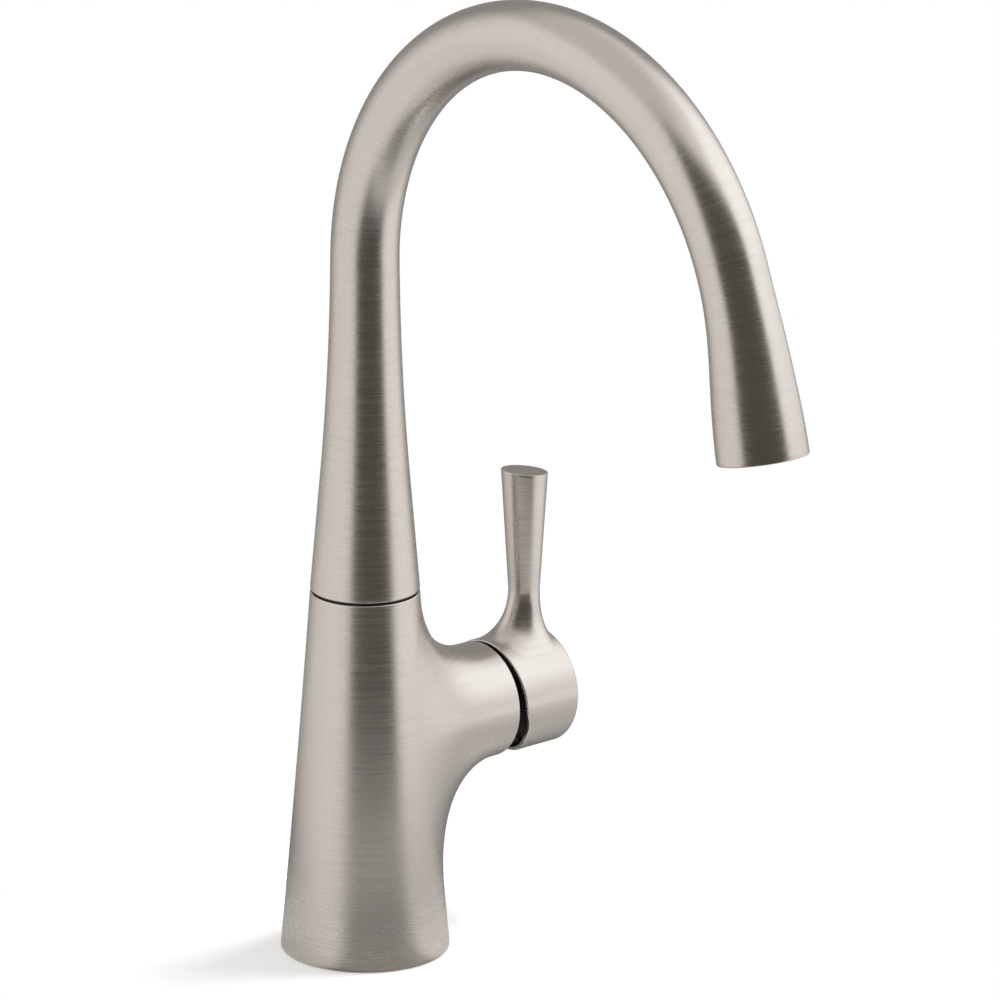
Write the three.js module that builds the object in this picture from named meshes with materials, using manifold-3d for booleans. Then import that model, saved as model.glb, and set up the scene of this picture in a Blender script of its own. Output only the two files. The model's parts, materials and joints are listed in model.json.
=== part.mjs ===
// Gooseneck bar faucet for one deck hole: a tapered body with a side stub that holds a
// ceramic disc cartridge, a swivelling gooseneck spout and a single side lever.
// Millimetres, +Z up. The origin is the centre of the base on the deck. The spout points
// to -Y and the stub with its lever to +X.
import * as THREE from 'three';
import { mergeVertices } from 'three/addons/utils/BufferGeometryUtils.js';
import Module from 'manifold-3d';

const wasm = await Module();
wasm.setup();

const deg = THREE.MathUtils.degToRad;

// ---- Clearances ----
const SEAT_GAP = 0.3; // between pieces that are screwed, pressed or clamped together
const RUN_GAP = 0.3; // between pieces that turn or slide on each other
const CUT = 1; // how far a cutter runs past the face that it opens
const SINK = 0.12; // how deep the edge of a blend starts under the skin it grows from
const BURY = 3; // how far below that edge the closed end of a blend lies
const MERGE_DISTANCE = 1e-4; // vertices closer than this are one

// ---- Body casting ----
const BASE_R = 27.5;
const BASE_EDGE = 1; // rounding where the body meets the deck
const BODY_H = 121.1; // deck to the swivel seam
const BODY_TOP_R = 17.7;
const BODY_BOW = 0.3; // how far the side bows inwards halfway up
const SEAM_CHAMFER = 0.45;
const SEAM_GAP = 0.8; // dark line between body and spout

// ---- Side stub, along +X ----
const STUB_Z = 73.5;
const STUB_R = 19.1;
const STUB_REACH = 50; // body axis to the stub's rim
const STUB_CHAMFER = 0.35;

// ---- Blend between body and stub ----
const BLEND_NECK_TOP = 48; // where the stub turns round, along X
const BLEND_NECK_SIDE = 42.2;
const BLEND_NECK_BOTTOM = 48;
const BLEND_RISE = 27.2; // how far the blend climbs the body above the stub
const BLEND_DROP = 50; // and runs down it below the stub
const BLEND_HALF_TURN = deg(79); // how far round the body it lands, each way
const BLEND_SHAPE_TOP = 2.64; // exponent of its outline on the body, where 2 is an ellipse
const BLEND_SHAPE_BOTTOM = 1.56; // and below, where the outline runs to a point
const BLEND_PULL_BODY_TOP = 0.5; // fullness at its body end, above and below
const BLEND_PULL_BODY_BOTTOM = 0.66;
const BLEND_PULL_STUB_TOP = 0.65; // fullness at its stub end, above and below
const BLEND_PULL_STUB_BOTTOM = 0.43;

// ---- Spout ----
const TUBE_R = 11;
const TUBE_WALL = 1.8;
const TAPER_ANGLE = deg(4.95); // side of the spout's conical foot
const TAPER_BLEND_R = 925; // long curve from that cone into the round tube
const ARCH_SPRING_Z = 231.3; // where the gooseneck starts to bend
const ARCH_R = 88.4;
const ARCH_SWEEP = deg(158.5);
const DROP_R = 182.6; // slower bend of the falling leg
const DROP_SWEEP = deg(9.1);
const DROP_STRAIGHT = 29.2;
const OUTLET_R = 14.3;
const FLARE_LENGTH = 57;
const TIP_EDGE = 0.5;

// ---- Aerator in the outlet ----
const AERATOR_BORE_R = 12.6;
const AERATOR_DEPTH = 13;
const AERATOR_RECESS = 1.2; // shell's face behind the tip
const AERATOR_WASHER_T = 1.8;
const AERATOR_SHELL_WALL = 1.4;
const AERATOR_LIP = 1.1;
const AERATOR_INSERT_T = 5;
const JET_R = 0.85;
const JET_PITCH = 3.4;
const JET_ROWS = 2; // of jets, on each side of the middle row

// ---- Swivel between spout and body ----
const SPIGOT_R = 9;
const SPIGOT_LENGTH = 24; // below the seam
const SPIGOT_BORE_R = 5.4;
const GROOVE_DEPTH = 1.9;
const ADAPTER_PLUG_H = 9; // part of the adapter inside the spout's foot
const GLIDE_WASHER_RECESS = 1.5;
const GLIDE_WASHER_LAND = 1.1; // from the seam's edge to the washer
const GLIDE_BUSH_H = 3.4;
const ORING_R = 1; // radius of the ring's section
const CLIP_T = 1.4;
const CLIP_PROUD = 1.1; // how far the clip stands out into the body's groove
const CLIP_GAP_ANGLE = deg(50);
const SPIGOT_LAND = 1.5; // metal between neighbouring grooves

// ---- Base and deck fixing ----
const GASKET_R = 24.1;
const GASKET_T = 3;
const SHANK_R = 15;
const SHANK_BORE_R = 12;
const SHANK_LENGTH = 60; // below the deck
const SHANK_FLANGE_R = 22;
const SHANK_FLANGE_T = 6;
const CAVITY_FOOT_R = 21;
const CAVITY_TOP_R = 18;
const CAVITY_H = 40;
const DECK_T = 20; // deck that the fixing is drawn tightened on
const DECK_WASHER_R = 27;
const DECK_WASHER_T = 2;
const STEEL_WASHER_T = 1.6;
const NUT_FLAT_R = 21; // half of the distance across flats
const NUT_H = 10;

// ---- Inlets ----
const INLET_Y = 6.2;
const INLET_THREAD_R = 4.7;
const INLET_SOCKET_DEPTH = 8;
const INLET_BORE_R = 2.6;
const INLET_HEX_R = 4.9; // half of the distance across flats
const INLET_HEX_H = 4.5;
const INLET_TAIL_R = 3.8;
const INLET_TAIL_H = 12;
const PASSAGE_R = 3.2;
const OUTLET_PASSAGE_R = 5;

// ---- Cartridge, along the stub's axis ----
const CHAMBER_FLOOR_X = 16;
const CARTRIDGE_R = 14;
const CARTRIDGE_WALL = 1.5;
const CARTRIDGE_FRONT_X = 40;
const SEAL_R = 12.5;
const SEAL_T = 1.6;
const BASE_PLATE_T = 3;
const BASE_PLATE_STEP = 2; // spigot of the base plate inside the cup
const DISC_T = 3;
const MOVING_DISC_R = 9.5;
const MOVING_DISC_T = 2.6;
const MIXING_POCKET_R = 5.6;
const MIXING_POCKET_DEPTH = 1.2;
const PORT_DROP = 4; // inlet ports below the cartridge axis
const PORT_RISE = 8; // outlet port above it
const PORT_R = 3;
const CARRIER_T = 5.4;
const CARRIER_HALF_W = 6.4;
const CARRIER_HALF_H = 7.4;
const CUP_LIP_T = 1.5;
const ROTOR_NECK_R = 8.7;
const ROTOR_NECK_END_X = 46.5;
const ROTOR_HEAD_T = 3; // solid part of the rotor behind the cup's lip
const STEM_SLOT_HALF_H = 6.2;
const LIMIT_RING_T = 2.8;
const LIMIT_RING_R = 12;
const LIMIT_KEY_R = 10.2;
const LIMIT_KEY_HALF_W = 1.4; // of the rotor's stop key
const TEMPERATURE_SWING = deg(45); // each way
const LIMIT_PLAY = deg(3); // between the key and the end of its notch
const CARTRIDGE_NUT_R = 16;
const CARTRIDGE_NUT_THREAD_H = 5.6;
const CARTRIDGE_NUT_HEX_H = 3;
const CARTRIDGE_NUT_FLAT_R = 13.6;

// ---- Stem and its pivot ----
const PIVOT_X = 42;
const PIN_R = 1.5;
const PIN_HALF_LENGTH = 8;
const STEM_HALF = 3; // half the side of the square stem
const STEM_BALL_R = 2.5;
const STEM_NECK_R = 1.9;
const STEM_END_X = 68;

// ---- Handle ----
const HUB_R = 19.3;
const HUB_WALL = 1.2;
const HUB_END_X = 77.1;
const HUB_END_CROWN = 2.4; // how far the end face swells
const HUB_END_SHOULDER = 11; // how far in from the edge it does so
const HUB_GAP_TOP = 1.5; // stub's rim to the hub's rim, at the top
const HUB_GAP_SIDE = 3.1; // and at mid height
const HUB_GAP_LOW = 5.2; // and below, where the hub needs room to tilt
const HUB_GAP_BOTTOM = 10.3; // and at the very bottom
const HUB_RELIEF_START = 1; // below the axis, where the rim turns back
const HUB_RELIEF_END = 9;
const HUB_RELIEF_LEAVE_X = 0.6; // pulls on the curve of that step at its upper end
const HUB_RELIEF_LEAVE_Z = 2;
const HUB_RELIEF_ARRIVE_Z = 3; // and at its lower end
const HUB_TOE_TURN = 14.5; // below the axis, where the rim's toe turns back further
const HUB_CAVITY_DEPTH = 14; // from the stub's rim to the cavity's floor
const SOCKET_DEPTH = 2; // of the stem's socket beyond the stem
const LEVER_X = 68.3;
const LEVER_WAIST_R = 5.15;
const LEVER_WAIST_Z = 107.5;
const LEVER_TOP_R = 7.65;
const LEVER_TOP_Z = 147.6;
const LEVER_TOP_TILT = deg(6.7);
const DISH_RIM = 1;
const DISH_DEPTH = 1.1;
const FLARE_IN = 15.4; // from the lever's axis to the end of its blend, towards the body
const FLARE_OUT = 7.4; // away from the body
const FLARE_SIDE = 15;
const FLARE_PULL_HUB = 0.5;
const FLARE_PULL_LEVER = 0.42;
const SCREW_R = 3;
const SCREW_X = 65.5;
const SCREW_LENGTH = 8;
const SCREW_HEX_R = 1.6;
const SCREW_HEX_DEPTH = 3;
const PLUG_T = 3;

// ---- Facets ----
const SIDES_LARGE = 40;
const SIDES_TUBE = 26;
const SIDES_MEDIUM = 24;
const SIDES_SMALL = 16;
const SIDES_PORT = 10;
const SIDES_JET = 6;
const SIDES_SECTION = 6; // round an O-ring's section and over a ball
const SIDES_LEVER = 28;
const SIDES_RIM = 6; // twice the steps along the curve of the hub's rim
const SPOUT_RINGS = 42;
const BORE_RINGS = 12;
const BLEND_STEPS = 9;
const CONE_STEPS = 9; // up the side of the body
const EDGE_STEPS = 3; // round the edge of its foot
const CROWN_STEPS = 6; // over the hub's end
const DISH_STEPS = 5; // from the middle of the lever's dish to its rim

// ---- Derived places ----
const SEAM_TOP_Z = BODY_H + SEAM_GAP;
const RIM_X = STUB_REACH;
const CHAMBER_R = CARTRIDGE_R + SEAT_GAP;
const SEAL_X = CHAMBER_FLOOR_X + SEAT_GAP;
const BASE_PLATE_X = SEAL_X + SEAL_T + SEAT_GAP;
const CUP_X = BASE_PLATE_X + BASE_PLATE_T + SEAT_GAP;
const CUP_BORE_R = CARTRIDGE_R - CARTRIDGE_WALL;
const FIXED_DISC_X = BASE_PLATE_X + BASE_PLATE_T + BASE_PLATE_STEP + SEAT_GAP;
const MOVING_DISC_X = FIXED_DISC_X + DISC_T + RUN_GAP;
const CARRIER_X = MOVING_DISC_X + MOVING_DISC_T + SEAT_GAP;
const BALL_X = CARRIER_X + CARRIER_T - STEM_BALL_R / 2;
const ROTOR_END_X = CARTRIDGE_FRONT_X - CUP_LIP_T - RUN_GAP;
const ROTOR_GUIDE_END_X = ROTOR_END_X - ROTOR_HEAD_T;
const NUT_X = CARTRIDGE_FRONT_X + SEAT_GAP;
const HUB_LOW_RIM_X = RIM_X + HUB_GAP_LOW;
const HUB_FLOOR_X = RIM_X + HUB_CAVITY_DEPTH;
const SPOUT_RUNS = [
  { length: ARCH_SPRING_Z - SEAM_TOP_Z, radius: Infinity },
  { length: ARCH_R * ARCH_SWEEP, radius: ARCH_R },
  { length: DROP_R * DROP_SWEEP, radius: DROP_R },
  { length: DROP_STRAIGHT, radius: Infinity },
];
const SPOUT_LENGTH = SPOUT_RUNS.reduce((sum, run) => sum + run.length, 0);

// ---- Materials ----
const finish = (color, roughness, metalness) =>
  new THREE.MeshStandardMaterial({ color, roughness, metalness });
const brushedNickel = finish(0xb5aaa0, 0.34, 1);
const brass = finish(0xb08d4f, 0.35, 1);
const steel = finish(0xa9abad, 0.3, 1);
const rubber = finish(0x1b1b1c, 0.85, 0);
const ceramic = finish(0xf0eee8, 0.25, 0);
const greyPlastic = finish(0x8c8f92, 0.5, 0);
const whitePlastic = finish(0xe4e3de, 0.5, 0);
const blackPlastic = finish(0x17171a, 0.5, 0);

// ---- Helpers ----

// A closed mesh as a solid that can be cut and joined.
function solidOf(geometry) {
  const bare = geometry.clone();
  bare.deleteAttribute('normal');
  bare.deleteAttribute('uv');
  const merged = mergeVertices(bare, MERGE_DISTANCE);
  const triangles = [];
  for (let i = 0; i < merged.index.count; i += 3) {
    const [a, b, c] = [0, 1, 2].map((k) => merged.index.getX(i + k));
    if (a !== b && b !== c && c !== a) triangles.push(a, b, c);
  }
  return new wasm.Manifold(new wasm.Mesh({
    numProp: 3,
    vertProperties: new Float32Array(merged.attributes.position.array),
    triVerts: new Uint32Array(triangles),
  }));
}

function geometryOf(solid) {
  const mesh = solid.getMesh();
  const geometry = new THREE.BufferGeometry();
  geometry.setAttribute('position', new THREE.BufferAttribute(mesh.vertProperties, 3));
  geometry.setIndex(new THREE.BufferAttribute(mesh.triVerts, 1));
  geometry.computeVertexNormals();
  return geometry;
}

const join = (solid, ...others) => others.reduce((sum, other) => sum.add(other), solid);
const cut = (solid, ...tools) => tools.reduce((rest, tool) => rest.subtract(tool), solid);
const move = (geometry, x, y, z) => geometry.translate(x, y, z);

// Turns a profile of [radius, height] points about +Z. The points run anticlockwise, seen
// with the radius to the right and the height upwards.
function revolve(points, sides) {
  const profile = points.map(([r, z]) => new THREE.Vector2(r, z));
  return new THREE.LatheGeometry(profile, sides).rotateX(Math.PI / 2);
}

const rod = (radius, z0, z1, sides) =>
  revolve([[0, z0], [radius, z0], [radius, z1], [0, z1]], sides);

const ring = (inner, outer, z0, z1, sides) =>
  revolve([[inner, z0], [outer, z0], [outer, z1], [inner, z1], [inner, z0]], sides);

// From a shape made along +Z to one along +X at the stub's height, with its +X pointing down.
const alongStub = (geometry) => geometry.rotateY(Math.PI / 2).translate(0, 0, STUB_Z);

function hexagon(flatRadius) {
  const shape = new THREE.Shape();
  const corner = flatRadius / Math.cos(Math.PI / 6);
  for (let i = 0; i < 6; i++) {
    const angle = i * Math.PI / 3;
    const point = [corner * Math.cos(angle), corner * Math.sin(angle)];
    if (i === 0) shape.moveTo(...point);
    else shape.lineTo(...point);
  }
  shape.closePath();
  return shape;
}

// A shape pulled up along +Z. A whole circle in the shape gets the number of sides given.
const prism = (shape, z0, z1, sides = SIDES_PORT) => new THREE.ExtrudeGeometry(shape, {
  depth: z1 - z0, bevelEnabled: false, curveSegments: sides / 2,
}).translate(0, 0, z0);

function box(x0, x1, y0, y1, z0, z1) {
  return new THREE.BoxGeometry(x1 - x0, y1 - y0, z1 - z0)
    .translate((x0 + x1) / 2, (y0 + y1) / 2, (z0 + z1) / 2);
}

// A closed skin through rings of points. Its two ends are closed by flat fans, or joined to
// each other where the rings come back round.
function loft(rings, comesRound = false) {
  const count = rings[0].length;
  const points = rings.flat();
  const index = [];
  const spans = comesRound ? rings.length : rings.length - 1;
  for (let k = 0; k < spans; k++) {
    const here = k * count;
    const next = ((k + 1) % rings.length) * count;
    for (let j = 0; j < count; j++) {
      const j1 = (j + 1) % count;
      index.push(here + j, here + j1, next + j1, here + j, next + j1, next + j);
    }
  }
  if (!comesRound) {
    const last = (rings.length - 1) * count;
    const middles = [rings[0], rings.at(-1)].map((ends) =>
      ends.reduce((sum, p) => sum.add(p), new THREE.Vector3()).divideScalar(count));
    const first = points.length;
    points.push(...middles);
    for (let j = 0; j < count; j++) {
      const j1 = (j + 1) % count;
      index.push(first, j1, j, first + 1, last + j, last + j1);
    }
  }
  const geometry = new THREE.BufferGeometry().setFromPoints(points);
  geometry.setIndex(volumeOf(points, index) < 0 ? index.reverse() : index);
  return geometry;
}

function volumeOf(points, index) {
  let volume = 0;
  for (let i = 0; i < index.length; i += 3) {
    const [a, b, c] = [0, 1, 2].map((k) => points[index[i + k]]);
    volume += a.dot(new THREE.Vector3().crossVectors(b, c)) / 6;
  }
  return volume;
}

// One section of a blend: a cubic that leaves its foot along the surface there, whose
// outward normal is given, and reaches its neck along the direction given.
function blendSection(foot, normal, neck, along, footPull, neckPull) {
  const chord = neck.clone().sub(foot);
  const leave = chord.clone().projectOnPlane(normal).multiplyScalar(footPull);
  const arrive = along.clone().multiplyScalar(-neckPull * chord.dot(along));
  return new THREE.CubicBezierCurve3(
    foot, foot.clone().add(leave), neck.clone().add(arrive), neck,
  ).getPoints(BLEND_STEPS);
}

// Turns sections that run from foot to neck into rings, with one ring buried below the foot
// so that the blend starts inside the piece it grows from.
function blendRings(sections, normals) {
  const inside = sections.map((points, i) =>
    points[0].clone().addScaledVector(normals[i], -BURY));
  const rings = sections[0].map((_, k) => sections.map((points) => points[k]));
  return [inside, ...rings];
}

const mixBySine = (top, side, bottom, angle) => {
  const s = Math.sin(angle);
  return side + ((s > 0 ? top : bottom) - side) * s * s;
};

function piece(name, shape, material) {
  const geometry = shape.isBufferGeometry ? geometryOf(solidOf(shape)) : geometryOf(shape);
  const mesh = new THREE.Mesh(geometry, material);
  mesh.name = name;
  return mesh;
}

// ---- Body casting ----

function bodyRadius(z) {
  const t = z / BODY_H;
  return BASE_R + (BODY_TOP_R - BASE_R) * t - 4 * BODY_BOW * t * (1 - t);
}

function bodySlope(z) {
  const step = 0.5;
  return (bodyRadius(z + step) - bodyRadius(z - step)) / (2 * step);
}

function bodyCone() {
  const profile = [[0, 0]];
  for (let i = 0; i <= EDGE_STEPS; i++) {
    const a = (i / EDGE_STEPS) * Math.PI / 2;
    const z = BASE_EDGE * (1 - Math.cos(a));
    profile.push([bodyRadius(z) - BASE_EDGE * (1 - Math.sin(a)), z]);
  }
  for (let i = 1; i <= CONE_STEPS; i++) {
    const z = BASE_EDGE + (BODY_H - SEAM_CHAMFER - BASE_EDGE) * i / CONE_STEPS;
    profile.push([bodyRadius(z), z]);
  }
  profile.push([BODY_TOP_R - SEAM_CHAMFER, BODY_H], [0, BODY_H]);
  return solidOf(revolve(profile, SIDES_LARGE));
}

// The stub and the blend that carries it: long and shallow below, tighter above and almost
// nothing at the sides, where the stub is nearly as wide as the body.
function stubWithBlend() {
  const sections = [];
  const normals = [];
  const alongX = new THREE.Vector3(1, 0, 0);
  for (let i = 0; i < SIDES_LARGE; i++) {
    const angle = (i / SIDES_LARGE) * 2 * Math.PI;
    const [c, s] = [Math.cos(angle), Math.sin(angle)];
    const shape = s > 0 ? BLEND_SHAPE_TOP : BLEND_SHAPE_BOTTOM;
    const swell = (Math.abs(c) ** shape + Math.abs(s) ** shape) ** (-1 / shape);
    const turn = BLEND_HALF_TURN * c * swell;
    const z = STUB_Z + (STUB_R + (s > 0 ? BLEND_RISE : BLEND_DROP)) * s * swell;
    const [cosTurn, sinTurn] = [Math.cos(turn), Math.sin(turn)];
    const normal = new THREE.Vector3(cosTurn, sinTurn, -bodySlope(z)).normalize();
    const foot = new THREE.Vector3(bodyRadius(z) * cosTurn, bodyRadius(z) * sinTurn, z)
      .addScaledVector(normal, -SINK);
    const neckX = mixBySine(BLEND_NECK_TOP, BLEND_NECK_SIDE, BLEND_NECK_BOTTOM, angle);
    const neck = new THREE.Vector3(neckX, STUB_R * c, STUB_Z + STUB_R * s);
    const up = (s + 1) / 2;
    const pullBody = THREE.MathUtils.lerp(BLEND_PULL_BODY_BOTTOM, BLEND_PULL_BODY_TOP, up);
    const pullStub = THREE.MathUtils.lerp(BLEND_PULL_STUB_BOTTOM, BLEND_PULL_STUB_TOP, up);
    sections.push(blendSection(foot, normal, neck, alongX, pullBody, pullStub));
    normals.push(normal);
  }
  const rings = blendRings(sections, normals);
  const rimRing = (x, radius) => rings[0].map((_, i) => {
    const angle = (i / SIDES_LARGE) * 2 * Math.PI;
    return new THREE.Vector3(x, radius * Math.cos(angle), STUB_Z + radius * Math.sin(angle));
  });
  rings.push(rimRing(RIM_X - STUB_CHAMFER, STUB_R), rimRing(RIM_X, STUB_R - STUB_CHAMFER));
  return solidOf(loft(rings));
}

// Everything that is cored or bored out of the body.
function bodyCavities() {
  const flangeTop = GASKET_T + SEAT_GAP + SHANK_FLANGE_T + SEAT_GAP;
  const underside = revolve([
    [0, -CUT], [GASKET_R + SEAT_GAP, -CUT], [GASKET_R + SEAT_GAP, GASKET_T],
    [SHANK_FLANGE_R + SEAT_GAP, GASKET_T], [SHANK_FLANGE_R + SEAT_GAP, flangeTop],
    [CAVITY_FOOT_R, flangeTop], [CAVITY_TOP_R, CAVITY_H], [0, CAVITY_H],
  ], SIDES_MEDIUM);
  const chamber = alongStub(revolve([
    [0, CHAMBER_FLOOR_X], [CHAMBER_R, CHAMBER_FLOOR_X], [CHAMBER_R, CARTRIDGE_FRONT_X],
    [CARTRIDGE_NUT_R + SEAT_GAP, CARTRIDGE_FRONT_X], [CARTRIDGE_NUT_R + SEAT_GAP, RIM_X + CUT],
    [0, RIM_X + CUT],
  ], SIDES_MEDIUM));
  const cutters = [underside, chamber, spigotSocket()];
  for (const side of [-1, 1]) {
    const y = side * INLET_Y;
    const portZ = STUB_Z - PORT_DROP;
    cutters.push(
      move(rod(INLET_THREAD_R + SEAT_GAP, CAVITY_H - CUT, CAVITY_H + INLET_SOCKET_DEPTH,
        SIDES_PORT), 0, y, 0),
      move(rod(PASSAGE_R, CAVITY_H, portZ, SIDES_PORT), 0, y, 0),
      move(alongStub(rod(PASSAGE_R, -PASSAGE_R, CHAMBER_FLOOR_X + CUT, SIDES_PORT)),
        0, y, -PORT_DROP),
    );
  }
  const socketFloor = BODY_H - SPIGOT_LENGTH - SEAT_GAP;
  cutters.push(
    move(alongStub(rod(PORT_R, 0, CHAMBER_FLOOR_X + CUT, SIDES_PORT)), 0, 0, PORT_RISE),
    rod(OUTLET_PASSAGE_R, STUB_Z + PORT_RISE - PORT_R, socketFloor + CUT, SIDES_SMALL),
  );
  return cutters.map(solidOf);
}

const faucetBody = () => cut(join(bodyCone(), stubWithBlend()), ...bodyCavities());

// ---- Swivel: heights on the spigot, from its top down ----

const BUSH_TOP_Z = BODY_H - GLIDE_WASHER_RECESS - SPIGOT_LAND;
const ORING_UPPER_Z = BUSH_TOP_Z - GLIDE_BUSH_H - SPIGOT_LAND - ORING_R;
const ORING_LOWER_Z = ORING_UPPER_Z - 2 * ORING_R - SPIGOT_LAND;
const CLIP_TOP_Z = ORING_LOWER_Z - ORING_R - SPIGOT_LAND;
const LOWER_BUSH_TOP_Z = CLIP_TOP_Z - CLIP_T - SPIGOT_LAND;
const GROOVE_R = SPIGOT_R - GROOVE_DEPTH;

function spigotSocket() {
  const wall = SPIGOT_R + RUN_GAP;
  const clipWall = SPIGOT_R + CLIP_PROUD + RUN_GAP;
  const washerWall = BODY_TOP_R - GLIDE_WASHER_LAND + SEAT_GAP;
  const recessZ = BODY_H - GLIDE_WASHER_RECESS;
  const floor = BODY_H - SPIGOT_LENGTH - SEAT_GAP;
  return revolve([
    [0, floor], [wall, floor], [wall, CLIP_TOP_Z - CLIP_T - RUN_GAP],
    [clipWall, CLIP_TOP_Z - CLIP_T - RUN_GAP], [clipWall, CLIP_TOP_Z + RUN_GAP],
    [wall, CLIP_TOP_Z + RUN_GAP], [wall, recessZ], [washerWall, recessZ],
    [washerWall, BODY_H + CUT], [0, BODY_H + CUT],
  ], SIDES_MEDIUM);
}

function glideWasher() {
  const z0 = BODY_H - GLIDE_WASHER_RECESS + SEAT_GAP;
  const inner = SPIGOT_R + RUN_GAP;
  return ring(inner, BODY_TOP_R - GLIDE_WASHER_LAND, z0, SEAM_TOP_Z - RUN_GAP, SIDES_MEDIUM);
}

// Brass plug in the spout's foot, with the grooved spigot that turns in the body.
function spoutAdapter() {
  const plug = (z) => spoutRadius(z - SEAM_TOP_Z) - TUBE_WALL - SEAT_GAP;
  const top = SEAM_TOP_Z + ADAPTER_PLUG_H;
  const foot = BODY_H - SPIGOT_LENGTH;
  const groove = (z0, z1) => [
    [SPIGOT_R, z0 - SEAT_GAP], [GROOVE_R, z0 - SEAT_GAP],
    [GROOVE_R, z1 + SEAT_GAP], [SPIGOT_R, z1 + SEAT_GAP],
  ];
  return revolve([
    [SPIGOT_BORE_R, foot], [SPIGOT_R, foot],
    ...groove(LOWER_BUSH_TOP_Z - GLIDE_BUSH_H, LOWER_BUSH_TOP_Z),
    ...groove(CLIP_TOP_Z - CLIP_T, CLIP_TOP_Z),
    ...groove(ORING_LOWER_Z - ORING_R, ORING_LOWER_Z + ORING_R),
    ...groove(ORING_UPPER_Z - ORING_R, ORING_UPPER_Z + ORING_R),
    ...groove(BUSH_TOP_Z - GLIDE_BUSH_H, BUSH_TOP_Z),
    [SPIGOT_R, SEAM_TOP_Z], [plug(SEAM_TOP_Z), SEAM_TOP_Z], [plug(top), top],
    [SPIGOT_BORE_R, top], [SPIGOT_BORE_R, foot],
  ], SIDES_SMALL);
}

const glideBush = (top) =>
  ring(GROOVE_R + SEAT_GAP, SPIGOT_R + RUN_GAP / 2, top - GLIDE_BUSH_H, top, SIDES_SMALL);

function oRing(z) {
  const radius = GROOVE_R + SEAT_GAP / 2 + ORING_R;
  return new THREE.TorusGeometry(radius, ORING_R, SIDES_SECTION, SIDES_SMALL).translate(0, 0, z);
}

// An open spring ring whose ends leave a gap at the back.
function retainingClip() {
  const inner = GROOVE_R + SEAT_GAP;
  const outer = SPIGOT_R + CLIP_PROUD;
  const half = CLIP_GAP_ANGLE / 2;
  const start = Math.PI / 2 + half;
  const end = Math.PI / 2 - half + 2 * Math.PI;
  const shape = new THREE.Shape();
  shape.absarc(0, 0, outer, start, end, false);
  shape.absarc(0, 0, inner, end, start, true);
  shape.closePath();
  return prism(shape, CLIP_TOP_Z - CLIP_T, CLIP_TOP_Z, SIDES_SMALL);
}

// ---- Spout ----

// Centre, direction angle and rings of the spout at a distance along its centreline. The
// angle is 0 where it climbs and grows as it bends forwards.
function spoutFrame(distance) {
  let left = distance;
  let [y, z, turn] = [0, SEAM_TOP_Z, 0];
  for (const run of SPOUT_RUNS) {
    const d = Math.min(left, run.length);
    const bend = d / run.radius;
    if (bend > 0) {
      y += run.radius * (Math.cos(turn + bend) - Math.cos(turn));
      z += run.radius * (Math.sin(turn + bend) - Math.sin(turn));
    } else {
      y -= d * Math.sin(turn);
      z += d * Math.cos(turn);
    }
    turn += bend;
    left -= d;
  }
  return { y, z, turn };
}

// Outer radius: a cone that runs into the round tube, and a soft flare at the outlet.
function spoutRadius(distance) {
  const curveLength = TAPER_BLEND_R * Math.sin(TAPER_ANGLE);
  const curveDrop = TAPER_BLEND_R * (1 - Math.cos(TAPER_ANGLE));
  const coneLength = (BODY_TOP_R - TUBE_R - curveDrop) / Math.tan(TAPER_ANGLE);
  const toTube = coneLength + curveLength - distance;
  const toTip = SPOUT_LENGTH - distance;
  if (toTube > curveLength) {
    return TUBE_R + curveDrop + (toTube - curveLength) * Math.tan(TAPER_ANGLE);
  }
  if (toTube > 0) {
    return TUBE_R + TAPER_BLEND_R - Math.sqrt(TAPER_BLEND_R ** 2 - toTube ** 2);
  }
  const flare = 1 - THREE.MathUtils.smoothstep(toTip, 0, FLARE_LENGTH);
  return TUBE_R + (OUTLET_R - TUBE_R) * flare;
}

function spoutRing(distance, radius) {
  const { y, z, turn } = spoutFrame(distance);
  const points = [];
  for (let i = 0; i < SIDES_TUBE; i++) {
    const angle = (i / SIDES_TUBE) * 2 * Math.PI;
    const out = radius * Math.sin(angle);
    points.push(new THREE.Vector3(
      radius * Math.cos(angle), y - out * Math.cos(turn), z - out * Math.sin(turn),
    ));
  }
  return points;
}

function spoutTube() {
  const boreEnd = SPOUT_LENGTH - AERATOR_DEPTH;
  const skin = [[0, BODY_TOP_R - SEAM_CHAMFER]];
  for (let i = 0; i < SPOUT_RINGS; i++) {
    const d = SEAM_CHAMFER + (SPOUT_LENGTH - TIP_EDGE - SEAM_CHAMFER) * i / (SPOUT_RINGS - 1);
    skin.push([d, spoutRadius(d)]);
  }
  skin.push([SPOUT_LENGTH, OUTLET_R - TIP_EDGE]);
  skin.push([SPOUT_LENGTH, AERATOR_BORE_R], [boreEnd, AERATOR_BORE_R]);
  for (let i = BORE_RINGS; i >= 0; i--) {
    const d = boreEnd * i / BORE_RINGS;
    skin.push([d, spoutRadius(d) - TUBE_WALL]);
  }
  return loft(skin.map(([d, r]) => spoutRing(d, r)), true);
}

// ---- Aerator, in a frame at the tip whose +Z points back up the tube ----

function aeratorShell() {
  const outer = AERATOR_BORE_R - SEAT_GAP;
  const inner = outer - AERATOR_SHELL_WALL;
  const top = AERATOR_RECESS + AERATOR_LIP + SEAT_GAP + AERATOR_INSERT_T;
  return revolve([
    [inner - AERATOR_LIP, AERATOR_RECESS], [outer, AERATOR_RECESS], [outer, top],
    [inner, top], [inner, AERATOR_RECESS + AERATOR_LIP],
    [inner - AERATOR_LIP, AERATOR_RECESS + AERATOR_LIP], [inner - AERATOR_LIP, AERATOR_RECESS],
  ], SIDES_MEDIUM);
}

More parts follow.
